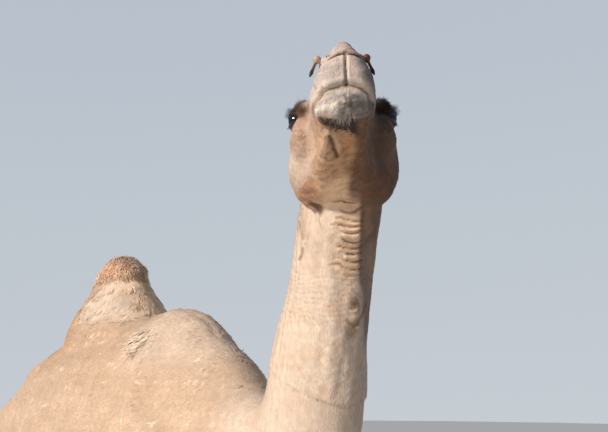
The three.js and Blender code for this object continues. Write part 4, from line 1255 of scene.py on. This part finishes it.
def bake_map(obj, roots, region, local, faces):
    """Gives each tuft or strand a small patch of the map, at its root's place on the unwrap."""
    u, v = (np.clip(part, 0.004, 0.996) for part in unwrap(roots, region))
    uv = np.stack([u, v], -1)[:, None] + local[None] * PATCH
    layer = obj.data.uv_layers.new(name="OFBake")
    write(layer.data, "uv", uv.reshape(-1, 2)[faces.ravel()])


CURL = 0.12  # how far a tuft bends sideways, as a share of its length
SUNK = 0.001  # how deep it is rooted, in metres


def tufts(name, roots, normals, lies, length, width, rise, colour, region, speckle, thick):
    """A coat piece: closed flat tapering tufts of hair, each rooted in the skin."""
    count = len(roots)
    length, width, rise = (
        np.broadcast_to(value, count)[:, None] for value in (length, width, rise)
    )
    across = unit(np.cross(lies, normals))
    bend = across * (rng.normal(0, 1, (count, 1)) * CURL)
    points = np.empty((count, 7, 3))

    def centre(t):
        lift = normals * rise * (t - 0.35 * t * t) * length
        return roots + lies * length * t + lift + bend * length * t * t

    for first, t, share in ((0, 0, 0.85), (3, 0.5, 1)):
        at = centre(t) - normals * (SUNK if t == 0 else 0)
        half = width * share / 2
        points[:, first] = at - across * half
        points[:, first + 1] = at + across * half
        points[:, first + 2] = at + normals * half * 2 * thick
    points[:, 6] = centre(1)
    faces = copies(TUFT_FACES, 7, count)
    obj = piece(name, points.reshape(-1, 3), faces, COAT, "coat")
    lean = normals + 0.11 * rng.normal(0, 1, normals.shape)
    sides = np.array([-0.22, 0.22, 0, -0.22, 0.22, 0, 0])[None, :, None]
    shade_as(obj, lean[:, None] + sides * across[:, None] - 0.10 * lies[:, None])
    shade = np.array([0.93, 0.93, 0.97, 1, 1, 1.02, 1.05])[None, :, None]
    tint = colour[:, None] * shade * (1 + speckle * rng.normal(0, 1, (count, 1, 1)).clip(-2, 2))
    paint(obj, tint.reshape(-1, 3))
    bake_map(obj, roots, region, TUFT_UV, faces)


def paint(obj, colour):
    layer = obj.data.color_attributes.new("hair", "FLOAT_COLOR", "POINT")
    full = np.concatenate([np.clip(colour, 0, 1), np.ones((len(colour), 1))], -1)
    write(layer.data, "color", full)


def scatter(weight, count):
    """Seeded places on the skin, as many as count, thick where weight(points) is high."""
    points, triangles, normals = shape
    corners = points[triangles]
    area = np.linalg.norm(
        np.cross(corners[:, 1] - corners[:, 0], corners[:, 2] - corners[:, 0]), axis=-1
    )
    middle = corners.mean(1)
    share = np.cumsum(area * weight(middle))
    pick = np.searchsorted(share, rng.uniform(0, share[-1], count))
    r, t = np.sqrt(rng.uniform(0, 1, count)), rng.uniform(0, 1, count)
    mix = np.stack([1 - r, r * (1 - t), r * t], -1)[:, :, None]
    at = (corners[pick] * mix).sum(1)
    normal = unit((normals[triangles[pick]] * mix).sum(1))
    return at, normal


def skin_arrays(obj):
    """Points, triangles and normals of an object's mesh."""
    mesh = obj.data
    mesh.calc_loop_triangles()
    triangles = read(mesh.loop_triangles, "vertices", 3, np.int32)
    return coordinates(mesh), triangles, read(mesh.vertex_normals, "vector", 3).astype(float)


# ---------------------------------------------------------------- materials
class Nodes:
    """A material's nodes, linked as they are made."""

    def __init__(self, name):
        self.material = bpy.data.materials.new(name)
        self.material.use_nodes = True
        self.tree = self.material.node_tree
        self.shader = self.tree.nodes["Principled BSDF"]

    def add(self, kind, inputs=None, **settings):
        node = self.tree.nodes.new("ShaderNode" + kind)
        for key, value in settings.items():
            setattr(node, key, value)
        for key, value in (inputs or {}).items():
            self.put(node.inputs[key], value)
        return node

    def put(self, socket, value):
        if isinstance(value, bpy.types.NodeSocket):
            self.tree.links.new(value, socket)
        else:
            socket.default_value = value

    def set(self, **values):
        for key, value in values.items():
            self.put(self.shader.inputs[key.replace("_", " ")], value)
        return self

    def place(self):
        return self.add("TexCoord").outputs["Object"]

    def painted(self):
        return self.add("VertexColor", layer_name="hair").outputs["Color"]

    def noise(self, vector, scale, detail=3, roughness=0.55):
        inputs = {"Vector": vector, "Scale": scale, "Detail": detail, "Roughness": roughness}
        return self.add("TexNoise", inputs).outputs["Fac"]

    def math(self, operation, a, b=0):
        return self.add("Math", {0: a, 1: b}, operation=operation).outputs[0]

    def stretched(self, vector, scale):
        return self.add("Mapping", {"Vector": vector, "Scale": scale}).outputs[0]

    def tint(self, colour, fac, low, high):
        """colour, brightened or darkened between low and high by fac."""
        level = self.add(
            "MapRange",
            {"Value": fac, "From Min": 0.3, "From Max": 0.7, "To Min": low, "To Max": high},
        )
        return self.add(
            "VectorMath", {0: colour, "Scale": level.outputs[0]}, operation="SCALE"
        ).outputs[0]

    def bump(self, height, distance, strength=1, normal=None):
        inputs = {"Height": height, "Distance": distance, "Strength": strength}
        if normal is not None:
            inputs["Normal"] = normal
        return self.add("Bump", inputs).outputs[0]


def coat_material():
    n = Nodes("coat")
    hair, place = n.painted(), n.place()
    fleck = n.noise(place, 420, 2)
    n.set(Base_Color=n.tint(hair, fleck, 0.92, 1.08), Roughness=0.72)
    n.set(Sheen_Weight=0.08, Sheen_Roughness=0.45, Specular_IOR_Level=0.25)
    n.set(Normal=n.bump(n.noise(place, 900, 2), 0.0003, 0.5))
    return n.material


def skin_material():
    n = Nodes("skin")
    hair, place = n.painted(), n.place()
    upright = n.noise(n.stretched(place, (1, 1, 0.14)), 380, 3, 0.6)
    level = n.noise(n.stretched(place, (1, 0.16, 0.8)), 300, 3, 0.6)
    lying = n.add("Attribute", attribute_name="lying").outputs["Fac"]
    streaks = n.add(
        "Mix", {"Factor": lying, "A": upright, "B": level}, data_type="FLOAT"
    ).outputs[0]
    lumps = n.noise(place, 60, 4, 0.6)
    colour = n.tint(n.tint(hair, streaks, 0.86, 1.10), lumps, 0.94, 1.05)
    n.set(Base_Color=colour, Roughness=0.78, Specular_IOR_Level=0.25)
    n.set(Sheen_Weight=0.05, Sheen_Roughness=0.5)
    coarse = n.bump(lumps, 0.003, 0.5)
    n.set(Normal=n.bump(streaks, 0.0016, 0.8, coarse))
    return n.material


def eye_material():
    n = Nodes("eye")
    place = n.add("Attribute", attribute_name="gaze").outputs["Vector"]
    parts = n.add("SeparateXYZ", {0: place})
    x, y = parts.outputs[0], parts.outputs[1]
    radius = n.math("SQRT", n.math("ADD", n.math("MULTIPLY", x, x), n.math("MULTIPLY", y, y)))
    ray = n.noise(n.stretched(place, (1, 1, 0.2)), 40, 3)
    iris = n.add("ValToRGB", {"Fac": n.math("ADD", radius, n.math("MULTIPLY", ray, 0.12))})
    ramp = iris.color_ramp
    ramp.elements[0].position = 0.30
    ramp.elements[0].color = (0.003, 0.002, 0.002, 1)
    ramp.elements[1].position = 0.95
    ramp.elements[1].color = (0.016, 0.010, 0.008, 1)
    for position, colour in ((0.46, (0.020, 0.009, 0.004, 1)), (0.72, (0.014, 0.007, 0.004, 1))):
        ramp.elements.new(position).color = colour
    n.set(Base_Color=iris.outputs[0], Roughness=0.04, Coat_Weight=1, Coat_Roughness=0.02, IOR=1.38)
    return n.material


def plain_material(
    name, colour, roughness, grain, depth,
    stretch=(1, 1, 1), low=0.75, high=1.2, broad_low=0.85, **more,
):
    n = Nodes(name)
    place = n.stretched(n.place(), stretch)
    fac = n.noise(place, grain, 5, 0.6)
    broad = n.noise(place, grain / 6, 3, 0.5)
    tinted = n.tint(n.tint(tuple(colour), fac, low, high), broad, broad_low, 1.97 - broad_low)
    n.set(Base_Color=tinted, Roughness=roughness, **more)
    n.set(Normal=n.bump(fac, depth, 0.7))
    return n.material


def wood_material():
    n = Nodes("peg_wood")
    tone, place = n.painted(), n.place()
    grain = n.noise(n.stretched(place, (1, 1, 0.12)), 900, 4, 0.6)
    n.set(Base_Color=n.tint(tone, grain, 0.65, 1.2), Roughness=0.48, Specular_IOR_Level=0.45)
    n.set(Normal=n.bump(grain, 0.0005, 0.7))
    return n.material


COAT = coat_material()
SKIN = skin_material()
EYE = eye_material()
LID = plain_material("lid_skin", (0.035, 0.024, 0.02), 0.42, 700, 0.0006)
LASH = plain_material("lash_hair", (0.045, 0.030, 0.022), 0.6, 600, 0.0003)
WOOD = wood_material()
NAIL = plain_material("nail_horn", tuple(HORN), 0.38, 220, 0.0008, (1, 1, 0.3), 0.6, 1.3)
PAD = plain_material("pad_leather", tuple(albedo(110, 88, 70)), 0.8, 110, 0.004, low=0.6, high=1.25)
FLOOR = plain_material(
    "floor", (0.56, 0.555, 0.545), 1, 3, 0,
    low=0.99, high=1.01, broad_low=0.98, Specular_IOR_Level=0,
)


def piece(name, points, faces, material, slot, *nodes):
    obj = mesh_object(name, points, faces)
    obj.data.materials.append(material)
    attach(obj, "root")
    if nodes:
        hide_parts(*nodes)
    return obj


# ---------------------------------------------------------------- eyes
IRIS_RADIUS = 15


def eye_way(mirror, x, y):
    out, up, ahead = eye_frame(mirror)
    x = x * SLIT
    return unit(
        ahead * x[:, None] + up * y[:, None] + out * np.sqrt((1 - x**2 - y**2).clip(0.02))[:, None]
    )


def make_eye(mirror, side):
    out, up, ahead = eye_frame(mirror)
    ways = np.stack([ahead, up, out])
    rings = ball(0.03, 48, 64)
    bulge = 1 + 0.045 * bell(np.arccos(rings[..., 2:]), 0, 0.5)
    points, faces = skin_over(rings * bulge * (EYE_RADIUS - 0.4) / 1000 @ ways + EYES[mirror])
    obj = piece(f"eyeball_{side}", points, faces, EYE, "eye", f"eye_{side}")
    layer = obj.data.attributes.new("gaze", "FLOAT_VECTOR", "POINT")
    write(layer.data, "vector", (points - EYES[mirror]) @ ways.T * 1000 / IRIS_RADIUS)


def make_lids(mirror, side):
    """The bare dark rim of each lid, and the tear corner."""
    t = np.linspace(-1, 1, 60)
    shapes = []
    for upper in (True, False):
        ridge = EYES[mirror] + eye_way(mirror, t, lid_curve(t, upper)) * (EYE_RADIUS + 1.2) / 1000
        shapes.append(tube(ridge, [1.2, 2, 2.2, 2, 1.2], 12, 70))
    ways = eye_way(mirror, np.array([0.9, 1.06]), np.array([-0.04, -0.08]))
    corner = EYES[mirror] + ways * (EYE_RADIUS + 0.6) / 1000
    shapes.append(tube(np.stack([corner[0], corner.mean(0), corner[1]]), [2.2, 2.6, 1.2], 10, 8))
    piece(f"lid_rims_{side}", *joined(shapes), LID, "coat")


def strands(
    name, paths, radius, material, region="head", colour=None, flat=1, sides=4, outward=None
):
    """Closed tapering hairs or locks along paths, an array of hair by step by place."""
    count, steps = paths.shape[:2]
    radius = np.broadcast_to(radius, count)[:, None] / 1000
    tangent = unit(np.gradient(paths, axis=1))
    normal = unit(np.cross(tangent, rng.normal(size=(count, 1, 3))))
    across = np.cross(tangent, normal)
    t = np.linspace(0, 1, steps)[None]
    swell = radius * (np.sin(math.pi * (0.25 + 0.75 * t)) ** 0.7).clip(0.02)
    angle = np.arange(sides) * 2 * math.pi / sides
    wide, thin = np.cos(angle)[None, None, :, None], np.sin(angle)[None, None, :, None] * flat
    ring = (across[:, :, None] * wide + normal[:, :, None] * thin) * swell[:, :, None, None]
    points = (paths[:, :, None] + ring).reshape(count, -1, 3)
    ends = np.stack([paths[:, 0], paths[:, -1]], 1)
    points = np.concatenate([points, ends], 1)
    per = points.shape[1]
    faces = copies(shell(steps, sides)[:, ::-1], per, count)
    obj = piece(name, points.reshape(-1, 3), faces, material, "coat")
    if outward is not None:
        round_way = np.concatenate(
            [unit(ring).reshape(count, -1, 3), tangent[:, :1] * 0, tangent[:, -1:]], 1
        )
        shade_as(obj, outward[:, None] + 0.45 * round_way)
    elif flat < 1:
        obj.data.polygons.foreach_set("use_smooth", np.zeros(len(obj.data.polygons), bool))
    if colour is not None:
        shade = np.concatenate(
            [np.repeat(np.linspace(0.88, 1.14, steps), sides), [0.85, 1.14]]
        )[None, :, None]
        tint = colour[:, None] * shade * (1 + 0.08 * rng.normal(size=(count, 1, 1)).clip(-2, 2))
        paint(obj, tint.reshape(-1, 3))
    local = np.concatenate(
        [np.stack([np.tile(np.cos(angle), steps), np.repeat(t[0], sides)], -1), [[0, 0], [0, 1]]]
    )
    bake_map(obj, paths[:, 0], region, local, faces)
    return obj


def curved(roots, ways, lengths, bends, steps=6, wave=0, turns=1.5):
    """Paths that start along ways and bend by bends towards their tips."""
    t = np.linspace(0, 1, steps)[None, :, None]
    lengths = np.broadcast_to(lengths, len(roots))[:, None, None] / 1000
    path = roots[:, None] + (ways[:, None] * t + bends[:, None] * t * t) * lengths
    if wave:
        side = unit(np.cross(ways, rng.normal(size=ways.shape)))[:, None]
        phase = rng.uniform(0, 6.28, (len(roots), 1, 1))
        path = path + side * wave * lengths * t * np.sin(2 * math.pi * turns * t + phase)
    return path


def make_lashes(mirror, side):
    out, up, ahead = eye_frame(mirror)
    count = 84
    t = (np.tile(np.linspace(-0.75, 0.8, 28), 3) + rng.normal(0, 0.02, count)).clip(-0.96, 0.93)
    roots = EYES[mirror] + eye_way(mirror, t, lid_curve(t, True) + 0.04) * (EYE_RADIUS + 2) / 1000
    ways = unit(
        0.5 * out + 0.95 * up + ahead * (t * 0.5)[:, None] + rng.normal(0, 0.10, (count, 3))
    )
    bends = 0.25 * out - 0.15 * up + rng.normal(0, 0.06, (count, 3))
    upper = curved(roots, ways, rng.uniform(8, 17, count), bends)
    t = np.linspace(-0.8, 0.8, 30)
    roots = EYES[mirror] + eye_way(mirror, t, lid_curve(t, False) - 0.05) * (EYE_RADIUS + 2) / 1000
    ways = unit(out - 0.9 * up + ahead * (t * 0.5)[:, None] + rng.normal(0, 0.12, (30, 3)))
    lower = curved(roots, ways, rng.uniform(6, 10, 30), 0.2 * np.repeat(up[None], 30, 0))
    strands(f"lashes_{side}", np.concatenate([upper, lower]), 0.20, LASH, sides=3)


# ---------------------------------------------------------------- nails, pegs and chest pad
def make_nails():
    for name, rows, mirror, stride in LEGS:
        foot_ahead, _, foot_side, _, foot_front = rows[-3][:5]
        for toe, label in ((1, "outer"), (-1, "inner")):
            at = body_at(
                foot_ahead + stride + foot_front - 13, foot_side * mirror + toe * mirror * 36, 29
            )
            shape = sections([[0, 0.4], [0.35, 1], [0.7, 0.98], [1, 0.62]], 20)
            t, wide = shape[:, 0][:, None], shape[:, 1][:, None]
            phi = np.linspace(0, 2 * math.pi, 28, endpoint=False)[None]
            x = 21 * wide * np.cos(phi)
            z = (13 * wide * np.sin(phi)).clip(-11, 13) - 3 + 4 * (1 - t)
            y = 20 - 44 * t + 3 * np.cos(phi) ** 2 * t - 5 * t * np.sin(phi).clip(0, 1)
            ridge = 0.35 * np.sin(t * 40) * np.sin(phi).clip(0, 1)
            points, faces = skin_over(np.stack([x, y + 0 * phi, z + ridge], -1) / 1000 + at)
            node = f"{name}_nail_{label}"
            piece(f"{node}_horn", points, faces, NAIL, "nail", node)


# radius and place along a peg, in millimetres
KNOB = [[1.5, -6], [4.3, -5.8], [6.6, -4.2], [7.6, -1.2], [7.7, 1], [6.8, 3.4], [5, 4.8]]
KNOB += [[3.9, 5.8], [4.6, 6.6], [4.2, 7.6], [3.1, 8.6], [2.7, 14]]
# radius in millimetres, and share of the peg's length
ROD = [[2.8, 0.55], [3.3, 0.68], [3.6, 0.76], [2.8, 0.86], [1, 0.98]]


def make_pegs():
    for m, side in zip(SIDES, ("left", "right")):
        ends = head_points([[266, 46, -47], [264, 60, -86]], m)
        knob, tip = ends - HEAD_TURN @ [bend(265) / 1000, 0, 0]
        axis = unit(tip - knob)
        across = unit(np.cross(axis, [0.3, 0.5, 0.8]))
        other = np.cross(axis, across)
        length = np.linalg.norm(tip - knob) * 1000
        profile = sections(KNOB + [[radius, length * share] for radius, share in ROD], 60)
        angle = np.arange(28) * 2 * math.pi / 28
        ring = across * np.cos(angle)[:, None] + other * np.sin(angle)[:, None]
        rings = knob + (ring[None] * profile[:, :1, None] + axis * profile[:, 1:, None]) / 1000
        points, faces = skin_over(rings)
        obj = piece(f"nose_peg_{side}_wood", points, faces, WOOD, "wood", f"nose_peg_{side}")
        t = (points - knob) @ axis * 1000 / length
        # the peg on the camel's left (m > 0) is painted dark reddish: a sore's colour, darkened as
        # shade
        wood = everywhere(albedo(120, 70, 56) if m > 0 else albedo(190, 164, 138), points)
        wood = blend(wood, albedo(112, 76, 54), ease(0.12, 0.3, t))
        paint(obj, blend(wood, albedo(52, 36, 32), ease(0.45, 0.75, t)))


PAD_AT = body_at(408, 0, 1106)


def make_pad():
    points, faces = ellipsoid(PAD_AT, (72, 113, 50), None, 120)
    grain = ripple(points, 0.020, 51, 2) + 0.6 * ripple(points, 0.05, 52, 2)
    points = points + unit(points - PAD_AT) * (1.2 * grain)[:, None] / 1000
    piece("chest_pad_leather", points, faces, PAD, "pad_skin", "chest_pad")


# ---------------------------------------------------------------- the camel
skin = make_skin()
skin.data.materials.clear()
skin.data.materials.append(SKIN)
shape = skin_arrays(skin)
paint(skin, coat_colour(shape[0], shape[2]))
lying = skin.data.attributes.new("lying", "FLOAT", "POINT")
write(lying.data, "value", ease(0.8, 0.3, np.abs(lie_of(shape[0], shape[2])[:, 2])))
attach(skin, "root")
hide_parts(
    *[
        node
        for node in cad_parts
        if not node.startswith(("eye", "nose", "chest")) and "nail" not in node
    ],
)
for m, side in zip(SIDES, ("left", "right")):
    make_eye(m, side)
    make_lids(m, side)
    make_lashes(m, side)
make_nails()
make_pegs()
make_pad()


# ---------------------------------------------------------------- coat
def clear_of_eyes(points):
    """1 on the skin, 0 between the lids and on their rims."""
    free = np.ones(len(points))
    for m in SIDES:
        out, up, ahead = eye_frame(m)
        local = points - EYES[m]
        reach = np.linalg.norm(local, axis=-1)
        way = local / np.maximum(reach, 1e-6)[:, None]
        x, y = way @ ahead / SLIT, way @ up
        shut = (y < lid_curve(x, True) + 0.10) & (y > lid_curve(x, False) - 0.12)
        free[shut & (np.abs(x) < 1.06) & (way @ out > 0) & (reach < 0.040)] = 0
    return free


def clear_of_folds(points):
    """0 in the mouth's line, in the nostrils and in the split of the lip."""
    a, s, h = in_head(points)
    free = 1 - (np.abs(h - mouth_line(s)) < 3.5) * (a > 165)
    free = free * (1 - (np.abs(s) < 2.5) * (a > 262) * (h > -140) * (h < -70))
    for m in SIDES:
        free = free * (near_line(points, nostril(m) + 0.001 * head_way(0, 0, 1), 20) > 12)
    return free


def in_rolls(points):
    return neck_rolls(points, everywhere(THROAT_FRONT, points))[1]


def ear_weight(points):
    """1 on the upper part of the ears."""
    a, s, h = in_head(points)
    return 1 * (h > 78) * (np.abs(s) > 50) * (a < -150) * (a > -330)


def head_weight(points):
    a, _, _ = in_head(points)
    here = (head_share(points) > 0.5) * (ear_weight(points) == 0) * (in_rolls(points) < 0.1)
    return clear_of_eyes(points) * clear_of_folds(points) * here * (1 + 0.8 * ease(60, 160, a))


def is_leg(points):
    _, side, z = in_body(points)
    return (z < 1150) & ((z < 1050) | (np.abs(side) > 60))


def neck_weight(points):
    here = (head_share(points) <= 0.5) * (in_body(points)[0] > 800)
    return 1 * here * (in_rolls(points) < 0.1) * (ear_weight(points) == 0)


def leg_weight(points):
    ahead, _, z = in_body(points)
    return is_leg(points) * (z > 26) * (ahead > -835) * (1 + 0.6 * ease(400, 150, z))


def trunk_weight(points):
    off_pad = np.linalg.norm((points - PAD_AT) / [0.074, 0.117, 0.06], axis=-1) > 1
    return 1 * ~is_leg(points) * (in_body(points)[0] <= 800) * off_pad


def head_length(points, normals):
    a, _, h = in_head(points)
    short = 8.5 - 3 * ease(120, 220, a) + 5 * ease(60, 100, h) * ease(0, -80, a)
    return short - 3 * ease(-110, -150, h) * ease(60, -40, a)


MOST_TUFTS = 18000


def make_coat(name, weight, count, region, length, width, rise, speckle, thick=0.07):
    """Short hair, in pieces of at most MOST_TUFTS tufts."""
    pieces = math.ceil(count / MOST_TUFTS)
    for index in range(pieces):
        roots, normals = scatter(weight, count // pieces)
        lies = lie_of(roots, normals)
        vary = rng.uniform(0.75, 1.25, len(roots))
        colour = coat_colour(roots, normals)
        long = length(roots, normals)
        wide = width * long * rng.uniform(0.8, 1.2, len(roots)) / 1000
        long = long * vary / 1000
        up = rise * rng.uniform(0.6, 1.4, len(roots))
        label = f"{name}_{index + 1}"
        tufts(label, roots, normals, lies, long, wide, up, colour, region, speckle, thick)


def neck_length(points, normals):
    return 7.5 + 4 * ease(0, 0.8, normals[:, 1])


def trunk_length(points, normals):
    z = in_body(points)[2]
    return 21 + 9 * ease(1960, 2040, z) + 4 * ease(1830, 1880, z)


def leg_length(points, normals):
    return 9 + 9 * ease(80, 700, in_body(points)[2])


# name, weight, count, region of the unwrap, length, width for its length, rise, speckle, thickness
make_coat("coat_head", head_weight, 28000, "head", head_length, 0.20, 0.03, 0.08)
make_coat("coat_neck", neck_weight, 30000, "neck", neck_length, 0.24, 0.014, 0.04, 0.04)
make_coat("coat_trunk", trunk_weight, 34000, "trunk", trunk_length, 0.22, 0.022, 0.05)
make_coat("coat_legs", leg_weight, 15000, "legs", leg_length, 0.23, 0.04, 0.05)


FLATNESS = 0.7  # thickness of a lock for its breadth


def grow(
    name, weight, count, length, radius, region,
    way=None, lift=0.5, droop=0.4, wave=0, steps=5, tint=1, tone=None, soft=True,
):
    """Longer locks, raised by lift and drooping. way, tone and tint replace the coat's own."""
    roots, normals = scatter(weight, count)
    lies = lie_of(roots, normals) if way is None else unit(np.broadcast_to(way, roots.shape))
    ways = unit(lies + lift * normals + rng.normal(0, 0.16, roots.shape).clip(-0.3, 0.3))
    bends = np.array([0, 0, -droop]) + rng.normal(0, 0.10, roots.shape) - 0.35 * lift * normals
    lengths = length * rng.uniform(0.6, 1.15, count)
    paths = curved(roots - normals * 0.002, ways, lengths, bends, steps, wave)
    colour = coat_colour(roots, normals) * tint if tone is None else everywhere(tone, roots)
    outward = normals if soft else None
    radii = radius * rng.uniform(0.7, 1.2, count)
    strands(name, paths, radii, COAT, region, colour, FLATNESS, 3, outward)


def cap_weight(points):
    ahead, _, z = in_body(points)
    return ease(2020, 2050, z) * (np.abs(ahead + 40) < 260)


def poll_weight(points):
    a, s, h = in_head(points)
    top = ease(62, 84, h) * ease(0.15, 0.5, bell(a, -140, 48))
    return top * bell(s, 0, 46) * (a > -215) * (h < 112)


def crest_weight(points):
    z = in_body(points)[2]
    local = points - on_axis(points, NECK_AXIS)
    middle = bell(np.abs(local[:, 0]) * 1000, 0, 22) * (local[:, 1] > 0.03)
    return middle * ease(1600, 1750, z) * (z < 2200)


def tail_weight(points):
    z = in_body(points)[2]
    return 1 * (points[:, 1] > 1.225) * (z < 1250) * (z > 900) * (np.abs(points[:, 0]) < 0.06)


def chin_weight(points):
    a, s, h = in_head(points)
    return bell(a, 256, 14) * bell(s, -2, 17) * (h < -164)


def brow_weight(points):
    total = np.zeros(len(points))
    for m in SIDES:
        _, up, ahead = eye_frame(m)
        total += blob(points, EYES[m] + up * 0.024 + ahead * 0.016, 0.019)
        # on the camel's left (m > 0) extra dark hair in front of the eye stands in for shade
        total += (0.7 if m > 0 else 0) * blob(points, EYES[m] + ahead * 0.034, 0.020)
    return total * clear_of_eyes(points) * (total > 0.2)


def loose_weight(points):
    return ease(0.15, 0.5, loose_lock(points))


# name, weight, count, length, radius, region of the unwrap
grow("wool_hump", cap_weight, 7600, 24, 1, "trunk", lift=0.8, droop=0.1, wave=0.14, steps=4)
grow("hair_poll", poll_weight, 900, 38, 1.4, "head", lift=0.3, droop=0.3, wave=0.05, steps=6)
grow("hair_crest", crest_weight, 900, 32, 1.3, "neck", lift=0.22, droop=0.2, wave=0.04)
grow(
    "hair_tail", tail_weight, 1100, 120, 1.6, "trunk",
    way=[0, 0.02, -1], lift=0.10, droop=0.5, wave=0.03, steps=7,
)
grow(
    "hair_chin", chin_weight, 90, 18, 0.36, "head",
    way=head_way(0.25, 0, -1), lift=0.1, droop=0.2, tone=PALE * 1.2,
)
grow("hair_brows", brow_weight, 1700, 17, 0.32, "head", lift=0.8, droop=-0.1, tint=0.75)
grow("hair_ears", ear_weight, 1200, 7, 0.4, "head", lift=0.05, droop=0, steps=4, soft=False)
grow(
    "hair_loose", loose_weight, 160, 40, 1.6, "trunk",
    way=[-0.62, 0.30, -0.42], lift=0.22, droop=0.1, wave=0.02, steps=7, tint=1.1,
)

# ---------------------------------------------------------------- camera, light and floor
camera = in_scene(bpy.data.objects.new("camera", bpy.data.cameras.new("camera")))
camera.data.lens = 50
camera.data.sensor_width = 36
camera.data.clip_end = 200
turn, pitch = math.radians(-34), math.radians(10.5)  # to the left of straight back, and up
look = Vector(
    (-math.sin(turn) * math.cos(pitch), math.cos(turn) * math.cos(pitch), math.sin(pitch))
)
camera.location = (-1.145, -2.406, 1.714)
camera.rotation_euler = look.to_track_quat("-Z", "Y").to_euler()
bpy.context.scene.camera = camera


def light(name, kind, energy, colour, way):
    """A light that shines along way."""
    lamp = in_scene(bpy.data.objects.new(name, bpy.data.lights.new(name, kind)))
    lamp.data.energy = energy
    lamp.data.color = colour
    lamp.rotation_euler = Vector(way).to_track_quat("-Z", "Y").to_euler()
    return lamp


key = light("key", "SUN", 3.8, (1, 0.955, 0.90), (0.87, -0.06, -0.45))
key.data.angle = math.radians(11)
# soft lights near the camel, which leave the floor out
unlit = bpy.data.collections.new("unlit")
for name, size, energy, colour, place, aim in (
    ("low_light", 3, 150, (1, 0.93, 0.86), (-4.7, -3.2, 0.4), (0, -0.8, 2)),
    ("fill_light", 4, 130, (0.92, 0.95, 1), (5.5, 1.6, 2.6), (0, 0, 1.6)),
):
    lamp = light(name, "AREA", energy, colour, Vector(aim) - Vector(place))
    lamp.data.size = size
    lamp.location = place
    lamp.visible_glossy = False
    lamp.light_linking.receiver_collection = unlit
world = bpy.data.worlds.new("world")
bpy.context.scene.world = world
world.use_nodes = True
background = world.node_tree.nodes["Background"]
background.inputs["Color"].default_value = (0.56, 0.70, 0.95, 1)
background.inputs["Strength"].default_value = 0.24
bpy.context.scene.view_settings.view_transform = "Standard"

FLOOR_DROP = 0.0005
floor_points = 30 * np.array([[-1, -1, 0], [1, -1, 0], [1, 1, 0], [-1, 1, 0]]) - [0, 0, FLOOR_DROP]
floor = mesh_object("floor", floor_points, np.array([[0, 1, 2, 3]]), False)
floor.data.materials.append(FLOOR)
unlit.objects.link(floor)
unlit.collection_objects[0].light_linking.link_state = "EXCLUDE"

# a pale studio wall all round, which neither lights nor shades the camel
backdrop = mesh_object("backdrop", *skin_over(ball(0, 25, 48) * 29))
wall = Nodes("wall")
height = wall.add("SeparateXYZ", {0: wall.add("NewGeometry").outputs["Position"]}).outputs[2]
fade = wall.add("MapRange", {"Value": height, "From Min": -2, "From Max": 20}).outputs[0]
tone = wall.add(
    "Mix", {"Factor": fade, 6: (0.56, 0.60, 0.64, 1), 7: (0.44, 0.50, 0.58, 1)}, data_type="RGBA"
).outputs[2]
wall.set(Base_Color=(0, 0, 0, 1), Emission_Color=tone, Emission_Strength=1, Roughness=1)
backdrop.data.materials.append(wall.material)
backdrop.visible_diffuse = False
backdrop.visible_glossy = False
backdrop.visible_shadow = False
